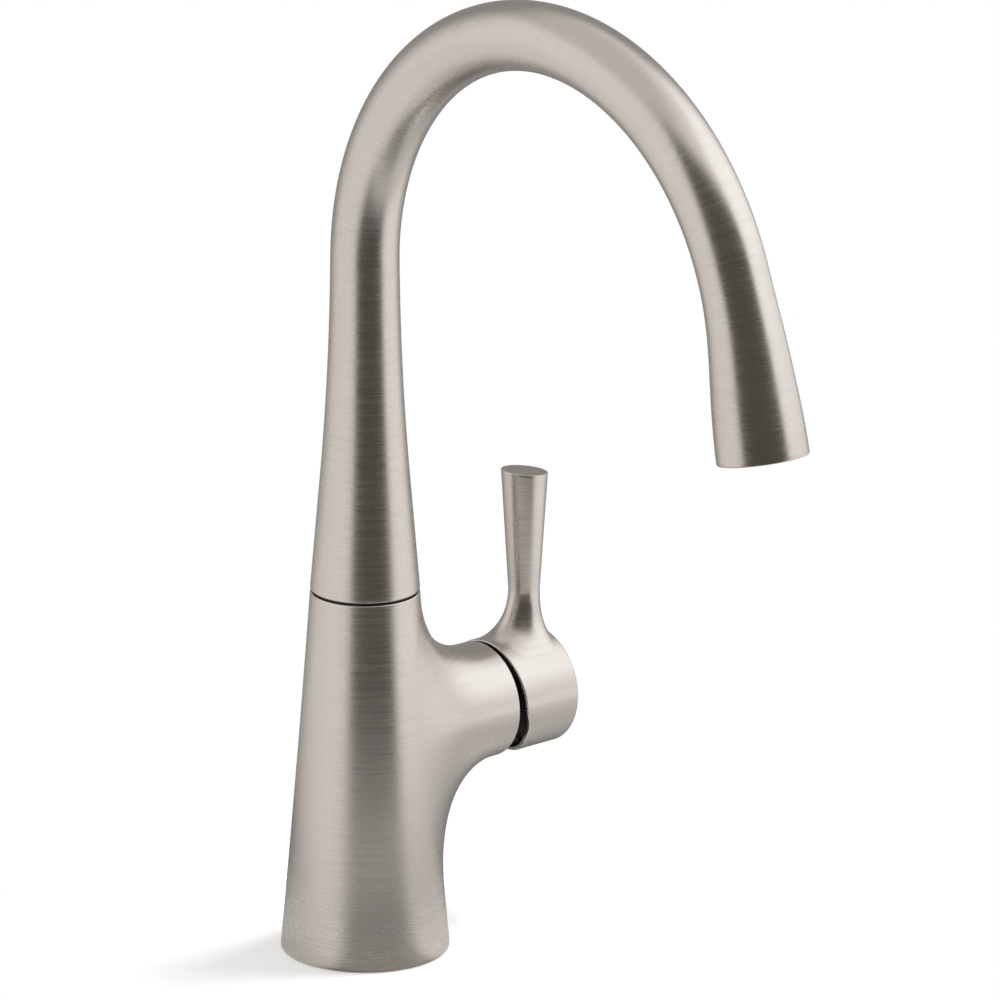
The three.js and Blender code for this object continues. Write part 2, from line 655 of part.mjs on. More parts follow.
// Flow straightener: a disc with a honeycomb of round jets.
function aeratorInsert() {
  const radius = AERATOR_BORE_R - SEAT_GAP - AERATOR_SHELL_WALL - SEAT_GAP;
  const shape = new THREE.Shape().absarc(0, 0, radius, 0, 2 * Math.PI, false);
  for (let row = -JET_ROWS; row <= JET_ROWS; row++) {
    const count = 2 * JET_ROWS + 1 - Math.abs(row);
    for (let i = 0; i < count; i++) {
      const x = (i - (count - 1) / 2) * JET_PITCH;
      const y = row * JET_PITCH * Math.sin(Math.PI / 3);
      shape.holes.push(new THREE.Path().absarc(x, y, JET_R, 0, 2 * Math.PI, true));
    }
  }
  const z0 = AERATOR_RECESS + AERATOR_LIP + SEAT_GAP;
  return prism(shape, z0, z0 + AERATOR_INSERT_T, SIDES_JET);
}

function aeratorWasher() {
  const z0 = AERATOR_RECESS + AERATOR_LIP + AERATOR_INSERT_T + 2 * SEAT_GAP;
  const outer = AERATOR_BORE_R - SEAT_GAP;
  const inner = outer - AERATOR_SHELL_WALL - AERATOR_LIP;
  return ring(inner, outer, z0, z0 + AERATOR_WASHER_T, SIDES_MEDIUM);
}

// ---- Base and deck fixing ----

const baseGasket = () => ring(SHANK_R + SEAT_GAP, GASKET_R, 0, GASKET_T, SIDES_MEDIUM);

function mountingShank() {
  const z0 = GASKET_T + SEAT_GAP;
  const z1 = z0 + SHANK_FLANGE_T;
  return revolve([
    [SHANK_BORE_R, -SHANK_LENGTH], [SHANK_R, -SHANK_LENGTH], [SHANK_R, z0],
    [SHANK_FLANGE_R, z0], [SHANK_FLANGE_R, z1], [SHANK_BORE_R, z1],
    [SHANK_BORE_R, -SHANK_LENGTH],
  ], SIDES_MEDIUM);
}

const deckWasher = () =>
  ring(SHANK_R + SEAT_GAP, DECK_WASHER_R, -DECK_T - DECK_WASHER_T, -DECK_T, SIDES_MEDIUM);

const STEEL_WASHER_TOP = -DECK_T - DECK_WASHER_T - SEAT_GAP;

const steelWasher = () => ring(SHANK_R + SEAT_GAP, DECK_WASHER_R,
  STEEL_WASHER_TOP - STEEL_WASHER_T, STEEL_WASHER_TOP, SIDES_MEDIUM);

function mountingNut() {
  const top = STEEL_WASHER_TOP - STEEL_WASHER_T - SEAT_GAP;
  const shape = hexagon(NUT_FLAT_R);
  shape.holes.push(new THREE.Path().absarc(0, 0, SHANK_R + SEAT_GAP, 0, 2 * Math.PI, true));
  return prism(shape, top - NUT_H, top, SIDES_SMALL);
}

// Threaded nipple with a hexagon and a hose tail, hanging from the roof of the cavity.
function inletNipple() {
  const hexTop = CAVITY_H - SEAT_GAP;
  const hexFoot = hexTop - INLET_HEX_H;
  const thread = rod(INLET_THREAD_R, hexTop - SEAT_GAP, CAVITY_H + INLET_SOCKET_DEPTH - SEAT_GAP,
    SIDES_PORT);
  const tail = rod(INLET_TAIL_R, hexFoot - INLET_TAIL_H, hexFoot + SEAT_GAP, SIDES_PORT);
  const bore = rod(INLET_BORE_R, hexFoot - INLET_TAIL_H - CUT, CAVITY_H + INLET_SOCKET_DEPTH + CUT,
    SIDES_PORT);
  const hex = prism(hexagon(INLET_HEX_R), hexFoot, hexTop);
  return cut(join(solidOf(hex), solidOf(thread), solidOf(tail)), solidOf(bore));
}

// ---- Cartridge, in a frame whose +Z runs along the stub and whose +X points down ----

function discWithPorts(radius, z0, z1) {
  const shape = new THREE.Shape().absarc(0, 0, radius, 0, 2 * Math.PI, false);
  for (const [down, y] of [[PORT_DROP, INLET_Y], [PORT_DROP, -INLET_Y], [-PORT_RISE, 0]]) {
    shape.holes.push(new THREE.Path().absarc(down, y, PORT_R, 0, 2 * Math.PI, true));
  }
  return prism(shape, z0, z1, SIDES_SMALL);
}

const cartridgeSeal = () => discWithPorts(SEAL_R, SEAL_X, SEAL_X + SEAL_T);

function cartridgeBase() {
  const stepEnd = BASE_PLATE_X + BASE_PLATE_T + BASE_PLATE_STEP;
  const plate = discWithPorts(CARTRIDGE_R, BASE_PLATE_X, BASE_PLATE_X + BASE_PLATE_T);
  const step = discWithPorts(CUP_BORE_R - SEAT_GAP, BASE_PLATE_X, stepEnd);
  return join(solidOf(plate), solidOf(step));
}

const fixedDisc = () =>
  discWithPorts(CUP_BORE_R - SEAT_GAP, FIXED_DISC_X, FIXED_DISC_X + DISC_T);

function cartridgeCup() {
  const lip = ROTOR_NECK_R + RUN_GAP;
  return revolve([
    [CUP_BORE_R, CUP_X], [CARTRIDGE_R, CUP_X], [CARTRIDGE_R, CARTRIDGE_FRONT_X],
    [lip, CARTRIDGE_FRONT_X], [lip, CARTRIDGE_FRONT_X - CUP_LIP_T],
    [CUP_BORE_R, CARTRIDGE_FRONT_X - CUP_LIP_T], [CUP_BORE_R, CUP_X],
  ], SIDES_MEDIUM);
}

function movingDisc() {
  const disc = rod(MOVING_DISC_R, MOVING_DISC_X, MOVING_DISC_X + MOVING_DISC_T, SIDES_MEDIUM);
  const pocket = rod(MIXING_POCKET_R, MOVING_DISC_X - CUT, MOVING_DISC_X + MIXING_POCKET_DEPTH,
    SIDES_SMALL);
  return cut(solidOf(disc), solidOf(pocket));
}

// Sliding block on the moving disc, with the socket for the stem's ball.
function discCarrier() {
  const block = box(-CARRIER_HALF_H, CARRIER_HALF_H, -CARRIER_HALF_W, CARRIER_HALF_W,
    CARRIER_X, CARRIER_X + CARRIER_T);
  const half = STEM_BALL_R + RUN_GAP;
  const socket = box(-half, half, -half, half, BALL_X - half, CARRIER_X + CARRIER_T + CUT);
  return cut(solidOf(block), solidOf(socket));
}

// Turret that turns with the handle. Its guide carries the disc carrier, its slot lets the
// stem rock, and the key on its neck meets the limit ring at each end of the swing.
function cartridgeRotor() {
  const guideX = CARRIER_X + RUN_GAP;
  const head = rod(CUP_BORE_R - RUN_GAP, guideX, ROTOR_END_X, SIDES_MEDIUM);
  const neck = rod(ROTOR_NECK_R, ROTOR_END_X - CUT, ROTOR_NECK_END_X, SIDES_MEDIUM);
  const key = box(-LIMIT_KEY_R, -STEM_SLOT_HALF_H, -LIMIT_KEY_HALF_W, LIMIT_KEY_HALF_W,
    CARTRIDGE_FRONT_X + RUN_GAP, NUT_X + LIMIT_RING_T);
  const guide = box(-CARTRIDGE_R, CARTRIDGE_R, -CARRIER_HALF_W - RUN_GAP,
    CARRIER_HALF_W + RUN_GAP, guideX - CUT, ROTOR_GUIDE_END_X);
  const slot = box(-STEM_SLOT_HALF_H, STEM_SLOT_HALF_H, -STEM_HALF - RUN_GAP,
    STEM_HALF + RUN_GAP, ROTOR_GUIDE_END_X - CUT, ROTOR_NECK_END_X + CUT);
  const pinHole = rod(PIN_R + SEAT_GAP, -CARTRIDGE_R, CARTRIDGE_R, SIDES_PORT)
    .rotateX(Math.PI / 2).translate(0, 0, PIVOT_X);
  const turned = join(solidOf(head), solidOf(neck), solidOf(key));
  return cut(turned, solidOf(guide), solidOf(slot), solidOf(pinHole));
}

const pivotPin = () => rod(PIN_R, -PIN_HALF_LENGTH, PIN_HALF_LENGTH, SIDES_PORT)
  .rotateX(Math.PI / 2).translate(0, 0, PIVOT_X);

// Ring with a notch as long as the handle's swing, in which the rotor's key travels.
function limitRing() {
  const shape = new THREE.Shape().absarc(0, 0, LIMIT_RING_R, 0, 2 * Math.PI, false);
  const half = TEMPERATURE_SWING + Math.asin(LIMIT_KEY_HALF_W / ROTOR_NECK_R) + LIMIT_PLAY;
  const hole = new THREE.Path();
  hole.absarc(0, 0, ROTOR_NECK_R + RUN_GAP, Math.PI - half, -Math.PI + half, true);
  hole.absarc(0, 0, LIMIT_KEY_R + RUN_GAP, -Math.PI + half, -Math.PI - half, true);
  hole.closePath();
  shape.holes.push(hole);
  return prism(shape, NUT_X, NUT_X + LIMIT_RING_T, SIDES_SMALL);
}

function cartridgeNut() {
  const threadEnd = NUT_X + CARTRIDGE_NUT_THREAD_H;
  const thread = rod(CARTRIDGE_NUT_R, NUT_X, threadEnd, SIDES_MEDIUM);
  const hex = prism(hexagon(CARTRIDGE_NUT_FLAT_R), threadEnd - SEAT_GAP,
    threadEnd + CARTRIDGE_NUT_HEX_H);
  const bore = rod(LIMIT_RING_R + SEAT_GAP, NUT_X - CUT, threadEnd + CARTRIDGE_NUT_HEX_H + CUT,
    SIDES_MEDIUM);
  return cut(join(solidOf(thread), solidOf(hex)), solidOf(bore));
}

// Square bar with a ball at its inner end and a cross hole for the pivot pin.
function cartridgeStem() {
  const neckEnd = PIVOT_X - STEM_HALF - SEAT_GAP;
  const ball = new THREE.SphereGeometry(STEM_BALL_R, SIDES_PORT, SIDES_SECTION)
    .translate(0, 0, BALL_X);
  const neck = rod(STEM_NECK_R, BALL_X, neckEnd + CUT, SIDES_PORT);
  const bar = box(-STEM_HALF, STEM_HALF, -STEM_HALF, STEM_HALF, neckEnd, STEM_END_X);
  const hole = rod(PIN_R + RUN_GAP, -CARTRIDGE_R, CARTRIDGE_R, SIDES_PORT)
    .rotateX(Math.PI / 2).translate(0, 0, PIVOT_X);
  return cut(join(solidOf(bar), solidOf(neck), solidOf(ball)), solidOf(hole));
}

// ---- Handle: hub and lever in one casting ----

function hubBarrel() {
  const profile = [[0, RIM_X], [HUB_R, RIM_X], [HUB_R, HUB_END_X - HUB_END_CROWN]];
  for (let i = 1; i <= CROWN_STEPS; i++) {
    const a = (i / CROWN_STEPS) * Math.PI / 2;
    profile.push([
      HUB_R - HUB_END_SHOULDER * (1 - Math.cos(a)),
      HUB_END_X - HUB_END_CROWN * (1 - Math.sin(a)),
    ]);
  }
  profile.push([0, HUB_END_X]);
  return solidOf(alongStub(revolve(profile, SIDES_LARGE)));
}

// Cuts the hub's rim as seen from the side: a slight slant above, then a soft step back
// below the axis and a toe that turns back further, which let the hub tilt to the stub.
function rimCutter() {
  const far = HUB_R + CUT;
  const slant = (HUB_GAP_SIDE - HUB_GAP_TOP) / HUB_R;
  const shape = new THREE.Shape();
  shape.moveTo(RIM_X - CUT, far);
  shape.lineTo(RIM_X + HUB_GAP_TOP - slant * CUT, far);
  shape.lineTo(RIM_X + HUB_GAP_SIDE, -HUB_RELIEF_START);
  shape.bezierCurveTo(
    RIM_X + HUB_GAP_SIDE + HUB_RELIEF_LEAVE_X, -HUB_RELIEF_START - HUB_RELIEF_LEAVE_Z,
    HUB_LOW_RIM_X, -HUB_RELIEF_END + HUB_RELIEF_ARRIVE_Z, HUB_LOW_RIM_X, -HUB_RELIEF_END,
  );
  shape.quadraticCurveTo(HUB_LOW_RIM_X, -HUB_TOE_TURN, RIM_X + HUB_GAP_BOTTOM, -far);
  shape.lineTo(RIM_X - CUT, -far);
  shape.closePath();
  const slab = prism(shape, -far, far, SIDES_RIM);
  return solidOf(slab.rotateX(Math.PI / 2).translate(0, 0, STUB_Z));
}

// The lever grows out of the hub like a stalk: broad towards the stub, short towards the end.
function leverStalk() {
  const upwards = new THREE.Vector3(0, 0, 1);
  const sections = [];
  const normals = [];
  const circle = (radius, z) => Array.from({ length: SIDES_LEVER }, (_, i) => {
    const angle = (i / SIDES_LEVER) * 2 * Math.PI;
    return new THREE.Vector3(LEVER_X + radius * Math.cos(angle), radius * Math.sin(angle), z);
  });
  const waist = circle(LEVER_WAIST_R, LEVER_WAIST_Z);
  for (let i = 0; i < SIDES_LEVER; i++) {
    const angle = (i / SIDES_LEVER) * 2 * Math.PI;
    const [c, s] = [Math.cos(angle), Math.sin(angle)];
    const y = FLARE_SIDE * s;
    const rise = Math.sqrt(HUB_R * HUB_R - y * y);
    const normal = new THREE.Vector3(0, y / HUB_R, rise / HUB_R);
    const foot = new THREE.Vector3(LEVER_X + (c < 0 ? FLARE_IN : FLARE_OUT) * c, y, STUB_Z + rise);
    foot.addScaledVector(normal, -SINK);
    sections.push(blendSection(
      foot, normal, waist[i], upwards, FLARE_PULL_HUB, FLARE_PULL_LEVER,
    ));
    normals.push(normal);
  }
  const rings = blendRings(sections, normals);
  const slope = (LEVER_TOP_R - LEVER_WAIST_R) / (LEVER_TOP_Z - LEVER_WAIST_Z);
  const above = LEVER_TOP_R;
  rings.push(circle(LEVER_TOP_R + slope * above, LEVER_TOP_Z + above));
  return solidOf(loft(rings));
}

// Trims the lever's top to a slanted face with a shallow dish inside a narrow rim.
function topCutter() {
  const dishR = LEVER_TOP_R - DISH_RIM;
  const reach = 2 * LEVER_TOP_R;
  const profile = [[0, -DISH_DEPTH]];
  for (let i = 1; i <= DISH_STEPS; i++) {
    const t = i / DISH_STEPS;
    profile.push([dishR * t, -DISH_DEPTH * (1 - t * t)]);
  }
  profile.push([reach, 0], [reach, reach], [0, reach]);
  return solidOf(revolve(profile, SIDES_MEDIUM).rotateY(LEVER_TOP_TILT)
    .translate(LEVER_X, 0, LEVER_TOP_Z));
}

function handleLever() {
  const cavity = alongStub(rod(HUB_R - HUB_WALL, RIM_X - CUT, HUB_FLOOR_X, SIDES_MEDIUM));
  const half = STEM_HALF + SEAT_GAP;
  const socket = alongStub(box(-half, half, -half, half, HUB_FLOOR_X - CUT,
    STEM_END_X + SOCKET_DEPTH));
  const screwHole = rod(SCREW_R + SEAT_GAP, -HUB_R - CUT, 0, SIDES_PORT)
    .translate(SCREW_X, 0, STUB_Z);
  const casting = cut(join(hubBarrel(), leverStalk()), topCutter(), rimCutter());
  return cut(casting, solidOf(cavity), solidOf(socket), solidOf(screwHole));
}

// Screw that clamps the stem from below, and the button that hides its hole.
function setScrew() {
  const tip = -STEM_HALF - SEAT_GAP;
  const body = rod(SCREW_R, tip - SCREW_LENGTH, tip, SIDES_PORT);
  const key = prism(hexagon(SCREW_HEX_R), tip - SCREW_LENGTH - CUT,
    tip - SCREW_LENGTH + SCREW_HEX_DEPTH);
  return cut(solidOf(body), solidOf(key));
}

const screwPlug = () => rod(SCREW_R, -HUB_R + SEAT_GAP, -HUB_R + SEAT_GAP + PLUG_T, SIDES_PORT);

// ---- Assembly ----

function deckParts() {
  const group = new THREE.Group();
  group.add(
    piece('base_gasket', baseGasket(), rubber),
    piece('mounting_shank', mountingShank(), brass),
    piece('deck_washer', deckWasher(), rubber),
    piece('steel_washer', steelWasher(), steel),
    piece('mounting_nut', mountingNut(), brass),
  );
  for (const [name, side] of [['inlet_hot', 1], ['inlet_cold', -1]]) {
    const nipple = piece(name, inletNipple(), brass);
    nipple.position.y = side * INLET_Y;
    group.add(nipple);
  }
  return group;
}

function spoutParts() {
  const group = new THREE.Group();
  group.add(
    piece('spout_tube', spoutTube(), brushedNickel),
    piece('spout_adapter', spoutAdapter(), brass),
    piece('glide_bush_upper', glideBush(BUSH_TOP_Z), whitePlastic),
    piece('glide_bush_lower', glideBush(LOWER_BUSH_TOP_Z), whitePlastic),
    piece('o_ring_upper', oRing(ORING_UPPER_Z), rubber),
    piece('o_ring_lower', oRing(ORING_LOWER_Z), rubber),
    piece('retaining_clip', retainingClip(), steel),
  );
  const tip = spoutFrame(SPOUT_LENGTH);
  const aerator = new THREE.Group();
  aerator.add(
    piece('aerator_shell', aeratorShell(), steel),
    piece('aerator_insert', aeratorInsert(), greyPlastic),
    piece('aerator_washer', aeratorWasher(), rubber),
  );
  aerator.position.set(0, tip.y, tip.z);
  aerator.rotation.x = tip.turn - Math.PI;
  group.add(aerator);
  return group;
}

function cartridgeParts() {
  const group = new THREE.Group();
  group.add(
    piece('cartridge_seal', cartridgeSeal(), rubber),
    piece('cartridge_base', cartridgeBase(), greyPlastic),
    piece('fixed_disc', fixedDisc(), ceramic),
    piece('moving_disc', movingDisc(), ceramic),
    piece('disc_carrier', discCarrier(), whitePlastic),
    piece('cartridge_cup', cartridgeCup(), greyPlastic),
    piece('cartridge_rotor', cartridgeRotor(), whitePlastic),
    piece('pivot_pin', pivotPin(), steel),
    piece('limit_ring', limitRing(), whitePlastic),
    piece('cartridge_nut', cartridgeNut(), blackPlastic),
    piece('cartridge_stem', cartridgeStem(), steel),
  );
  group.position.z = STUB_Z;
  group.rotation.y = Math.PI / 2;
  return group;
}

function handleParts() {
  const group = new THREE.Group();
  const screw = new THREE.Group();
  screw.position.set(SCREW_X, 0, STUB_Z);
  screw.add(
    piece('handle_set_screw', setScrew(), steel),
    piece('screw_plug', screwPlug(), greyPlastic),
  );
  group.add(piece('handle_lever', handleLever(), brushedNickel), screw);
  return group;
}

const group = new THREE.Group();
group.add(
  piece('faucet_body', faucetBody(), brushedNickel),
  piece('glide_washer', glideWasher(), blackPlastic),
  deckParts(),
  spoutParts(),
  cartridgeParts(),
  handleParts(),
);

export default group;
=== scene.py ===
"""Looks of a gooseneck bar faucet in brushed nickel: smooth skins for the casting, the spout
and the lever handle, turned and threaded small parts, and a plain light studio."""
import json
import math

import bmesh
import bpy
import numpy as np
from mathutils import Matrix, Vector

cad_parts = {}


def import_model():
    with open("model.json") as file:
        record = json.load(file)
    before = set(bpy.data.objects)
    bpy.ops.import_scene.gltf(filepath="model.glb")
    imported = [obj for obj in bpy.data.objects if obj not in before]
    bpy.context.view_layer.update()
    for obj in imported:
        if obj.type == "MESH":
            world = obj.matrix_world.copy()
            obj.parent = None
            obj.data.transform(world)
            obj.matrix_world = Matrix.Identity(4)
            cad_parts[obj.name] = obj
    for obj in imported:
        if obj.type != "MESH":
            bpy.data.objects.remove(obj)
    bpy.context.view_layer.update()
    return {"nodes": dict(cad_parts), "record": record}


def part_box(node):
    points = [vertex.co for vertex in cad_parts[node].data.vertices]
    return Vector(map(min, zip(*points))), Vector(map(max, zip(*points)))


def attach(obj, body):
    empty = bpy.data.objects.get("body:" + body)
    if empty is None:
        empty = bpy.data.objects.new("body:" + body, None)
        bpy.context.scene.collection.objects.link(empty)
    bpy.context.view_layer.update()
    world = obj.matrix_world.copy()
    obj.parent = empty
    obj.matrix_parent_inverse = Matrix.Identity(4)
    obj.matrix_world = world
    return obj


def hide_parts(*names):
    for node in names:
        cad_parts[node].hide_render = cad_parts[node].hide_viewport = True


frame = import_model()

MM = 0.001  # the sizes below are in millimetres, and every mesh is made in metres by this

# ---- Camera, with its place in metres and its angles in degrees ----
CAMERA_PLACE = (-1.75719, -2.04976, 0.98571)
CAMERA_AZIMUTH, CAMERA_ELEVATION, CAMERA_ROLL = 228.478, 17.174, 0.241
CAMERA_LENS = 317.96  # on a 36 mm sensor
SENSOR = 36
CAMERA_FAR = 20

# ---- Body casting ----
BASE_R = 27.5
BASE_EDGE = 1
BODY_H = 121.1
BODY_TOP_R = 17.7
BODY_BOW = 0.3
SEAM_EDGE = 0.45
SEAM_GAP = 0.8
SEAM_TOP_Z = BODY_H + SEAM_GAP

# ---- Side stub and its blend ----
STUB_Z = 73.5
STUB_R = 19.1
STUB_REACH = 50
STUB_EDGE = 0.35
NECK_TOP, NECK_SIDE, NECK_BOTTOM = 48, 42.2, 48
BLEND_RISE, BLEND_DROP, BLEND_HALF_TURN = 27.2, 50, math.radians(79)
FULLNESS_TOP, FULLNESS_BOTTOM = 2.64, 1.56
PULL_BODY_TOP, PULL_BODY_BOTTOM = 0.5, 0.66
PULL_STUB_TOP, PULL_STUB_BOTTOM = 0.65, 0.43

# ---- Inside of the casting ----
SOCKET_R = 9.3
SOCKET_DEPTH = 24.3
WASHER_RECESS_R = 16.9
WASHER_RECESS = 1.5
CHAMBER_MOUTH_R, CHAMBER_R = 16.3, 14.3
CHAMBER_STEP_X, CHAMBER_FLOOR_X = 40, 16
GASKET_RECESS_R, GASKET_RECESS = 24.4, 3
FLANGE_RECESS_R, FLANGE_RECESS = 22.3, 9.6
CAVITY_FOOT_R, CAVITY_TOP_R, CAVITY_H = 21, 18, 40
SOCKET_EDGE, RECESS_EDGE = 0.2, 0.3

# ---- Spout ----
TUBE_R = 11
TUBE_WALL = 1.8
TAPER_ANGLE = math.radians(4.95)
TAPER_BLEND_R = 925
ARCH_SPRING_Z = 231.3
ARCH_R, ARCH_SWEEP = 88.4, math.radians(158.5)
DROP_R, DROP_SWEEP = 182.6, math.radians(9.1)
DROP_STRAIGHT = 29.2
SPOUT_RUNS = (
    (ARCH_SPRING_Z - SEAM_TOP_Z, math.inf),
    (ARCH_R * ARCH_SWEEP, ARCH_R),
    (DROP_R * DROP_SWEEP, DROP_R),
    (DROP_STRAIGHT, math.inf),
)
SPOUT_LENGTH = sum(length for length, _ in SPOUT_RUNS)
OUTLET_R = 14.3
FLARE_LENGTH = 57
TIP_EDGE = 0.5
AERATOR_BORE_R, AERATOR_DEPTH = 12.6, 13

# ---- Handle ----
HUB_R = 19.3
HUB_BORE_R = 18.1
HUB_END_X = 77.1
HUB_CROWN, HUB_SHOULDER = 2.4, 11
HUB_GAP_TOP, HUB_GAP_SIDE, HUB_GAP_LOW, HUB_GAP_BOTTOM = 1.5, 3.1, 5.2, 10.3
RELIEF_START, RELIEF_END, TOE_TURN = 1, 9, 14.5
RELIEF_LEAVE, RELIEF_TURN, RELIEF_ARRIVE = 0.6, 2, 3
HUB_EDGE = 0.5
RIM_CUT = 1
HUB_FLOOR_X = 64
STEM_SOCKET_HALF, STEM_SOCKET_END_X = 3.3, 70
LEVER_X = 68.3
WAIST_R, WAIST_Z = 5.15, 107.5
LEVER_TOP_R, LEVER_TOP_Z = 7.65, 147.6
LEVER_TILT = math.radians(6.7)
LEVER_EDGE = 0.35
DISH_RIM, DISH_DEPTH = 1, 1.1
FLARE_IN, FLARE_OUT, FLARE_SIDE = 15.4, 7.4, 15
PULL_HUB, PULL_LEVER = 0.5, 0.42

# ---- Swivel, deck fixing and inlets ----
GLIDE_WASHER_BORE_R, GLIDE_WASHER_R = 9.3, 16.6
GLIDE_WASHER_Z, GLIDE_WASHER_EDGE = (BODY_H - 1.2, SEAM_TOP_Z - 0.3), 0.3
SHANK_R, SHANK_BORE_R, SHANK_FOOT = 15, 12, -60
SHANK_CHAMFER, SHANK_RELIEF, SHANK_EDGE = 0.8, 1, 0.3
SHANK_FLANGE_R, SHANK_FLANGE_Z, SHANK_FLANGE_EDGE = 22, (3.3, 9.3), 0.5
SHANK_PITCH, SHANK_THREAD = 2, 0.9
SHANK_HOLE_R = 15.3  # in the pieces that it passes through
GASKET_R, GASKET_Z, GASKET_EDGE = 24.1, (0, 3), 0.8
DECK_WASHER_R, DECK_WASHER_Z, DECK_WASHER_EDGE = 27, (-22, -20), 0.6
STEEL_WASHER_Z, STEEL_WASHER_EDGE = (-23.9, -22.3), 0.25
NUT_FLAT_R, NUT_Z, NUT_CHAMFER, NUT_LEAD_IN = 21, (-34.2, -24.2), 1.9, 0.6
INLET_Y, INLET_BORE_R = 6.2, 2.6
INLET_TAIL_R, INLET_ROOT_R, INLET_FOOT = 3.8, 3.1, 23.2
BARBS, BARB_PITCH, BARB_START = 3, 3, 0.3
BARB_RISE, BARB_CREST, BARB_FALL = 2.2, 2.5, 2.6  # ends of its slope, crest and back
INLET_FLAT_R, INLET_HEX_Z, INLET_CHAMFER = 4.9, (35.2, 39.7), 0.5
INLET_THREAD_R, INLET_TOP, INLET_PITCH, INLET_THREAD = 4.7, 47.7, 1, 0.45

# ---- Aerator, from the spout's tip upwards ----
SHELL_R, SHELL_INNER_R, SHELL_MOUTH_R = 12.3, 10.9, 9.8
SHELL_Z, SHELL_LIP_Z, SHELL_EDGE = (1.2, 7.6), 2.3, 0.35
INSERT_R, INSERT_Z = 10.6, (2.6, 7.6)
JET_R, JET_PITCH, JET_ROWS, JET_SIDES = 0.85, 3.4, 2, 18
AERATOR_WASHER_Z, AERATOR_WASHER_EDGE = (7.9, 9.7), 0.5

# ---- Cartridge nut and the plug over the handle's screw ----
CARTRIDGE_NUT_R, CARTRIDGE_NUT_BORE_R, CARTRIDGE_NUT_FLAT_R = 16, 12.3, 13.6
CARTRIDGE_NUT_X = (40.3, 45.9, 48.9)  # foot, end of the thread, end of the hexagon
CARTRIDGE_NUT_PITCH, CARTRIDGE_NUT_THREAD = 1.5, 0.6
CARTRIDGE_NUT_CHAMFER, CARTRIDGE_NUT_RELIEF, CARTRIDGE_HEX_CHAMFER = 0.5, 0.3, 0.8
PLUG_R, PLUG_X, PLUG_Z = 3, 65.5, (-19, -16)  # heights from the stub's axis
PLUG_CROWN_R, PLUG_CROWN, PLUG_SHOULDER, PLUG_EDGE = PLUG_R - 0.6, 0.05, 0.5, 0.3

# ---- Fineness of the skins ----
ROUND_STEPS = 144  # along the top and the bottom of an unrolled surface
SIDE_STEPS = 36  # up its back seam
SPREAD_STEPS = 26  # from a blend's foot outwards
BLEND_STEPS = 30
SPOUT_SIDES, SPOUT_RINGS = 112, 320
TURNED_SIDES = 72
EDGE_STEPS = 4  # in a rounded edge
THREAD_STEPS = 8  # along one turn's pitch
CHAMFER_STEPS = 8
SECTION_SIDES = 24  # round an O-ring's section
SUPPORT = 0.985  # last ring before an edge, as a share of the way to it
STUB_ROWS = (0, 0.25, 0.5, 0.75, 0.96)  # shares of the way to the stub's rim
SHAFT_ROWS = (*np.linspace(0, 0.98, 14), 1)  # shares of the way up the lever
DISH_ROWS = (1, 0.985, 0.95, 0.85, 0.7, 0.5, 0.25, 0)  # shares of the dish's radius
RIM_STEPS = 40  # in each curve of the hub's rim
BORE_RINGS = SPOUT_RINGS // 4
CORNER_SHARE = 0.45  # of a side, at most, goes into a rounded corner
THREAD_RISE = 1.4  # over 1, it leaves a thread's crest and root flat
CHAMFER_INSET = 0.97  # of a hexagon's flats, where its chamfer starts
SHARP_ANGLE, FACET_ANGLE = 35, 20
SEW_DISTANCE = 0.002


# ---- Mesh helpers ----

def new_object(name, data):
    thing = bpy.data.objects.new(name, data)
    bpy.context.scene.collection.objects.link(thing)
    return thing


def dressed(name, mesh, body, material, nodes, sharp=SHARP_ANGLE):
    """Shades a finished mesh, as a piece that rides on a body and stands for nodes."""
    mesh.shade_smooth()
    mesh.set_sharp_from_angle(angle=math.radians(sharp))
    mesh.materials.append(material)
    piece = new_object(name, mesh)
    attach(piece, body)
    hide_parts(*nodes)
    return piece


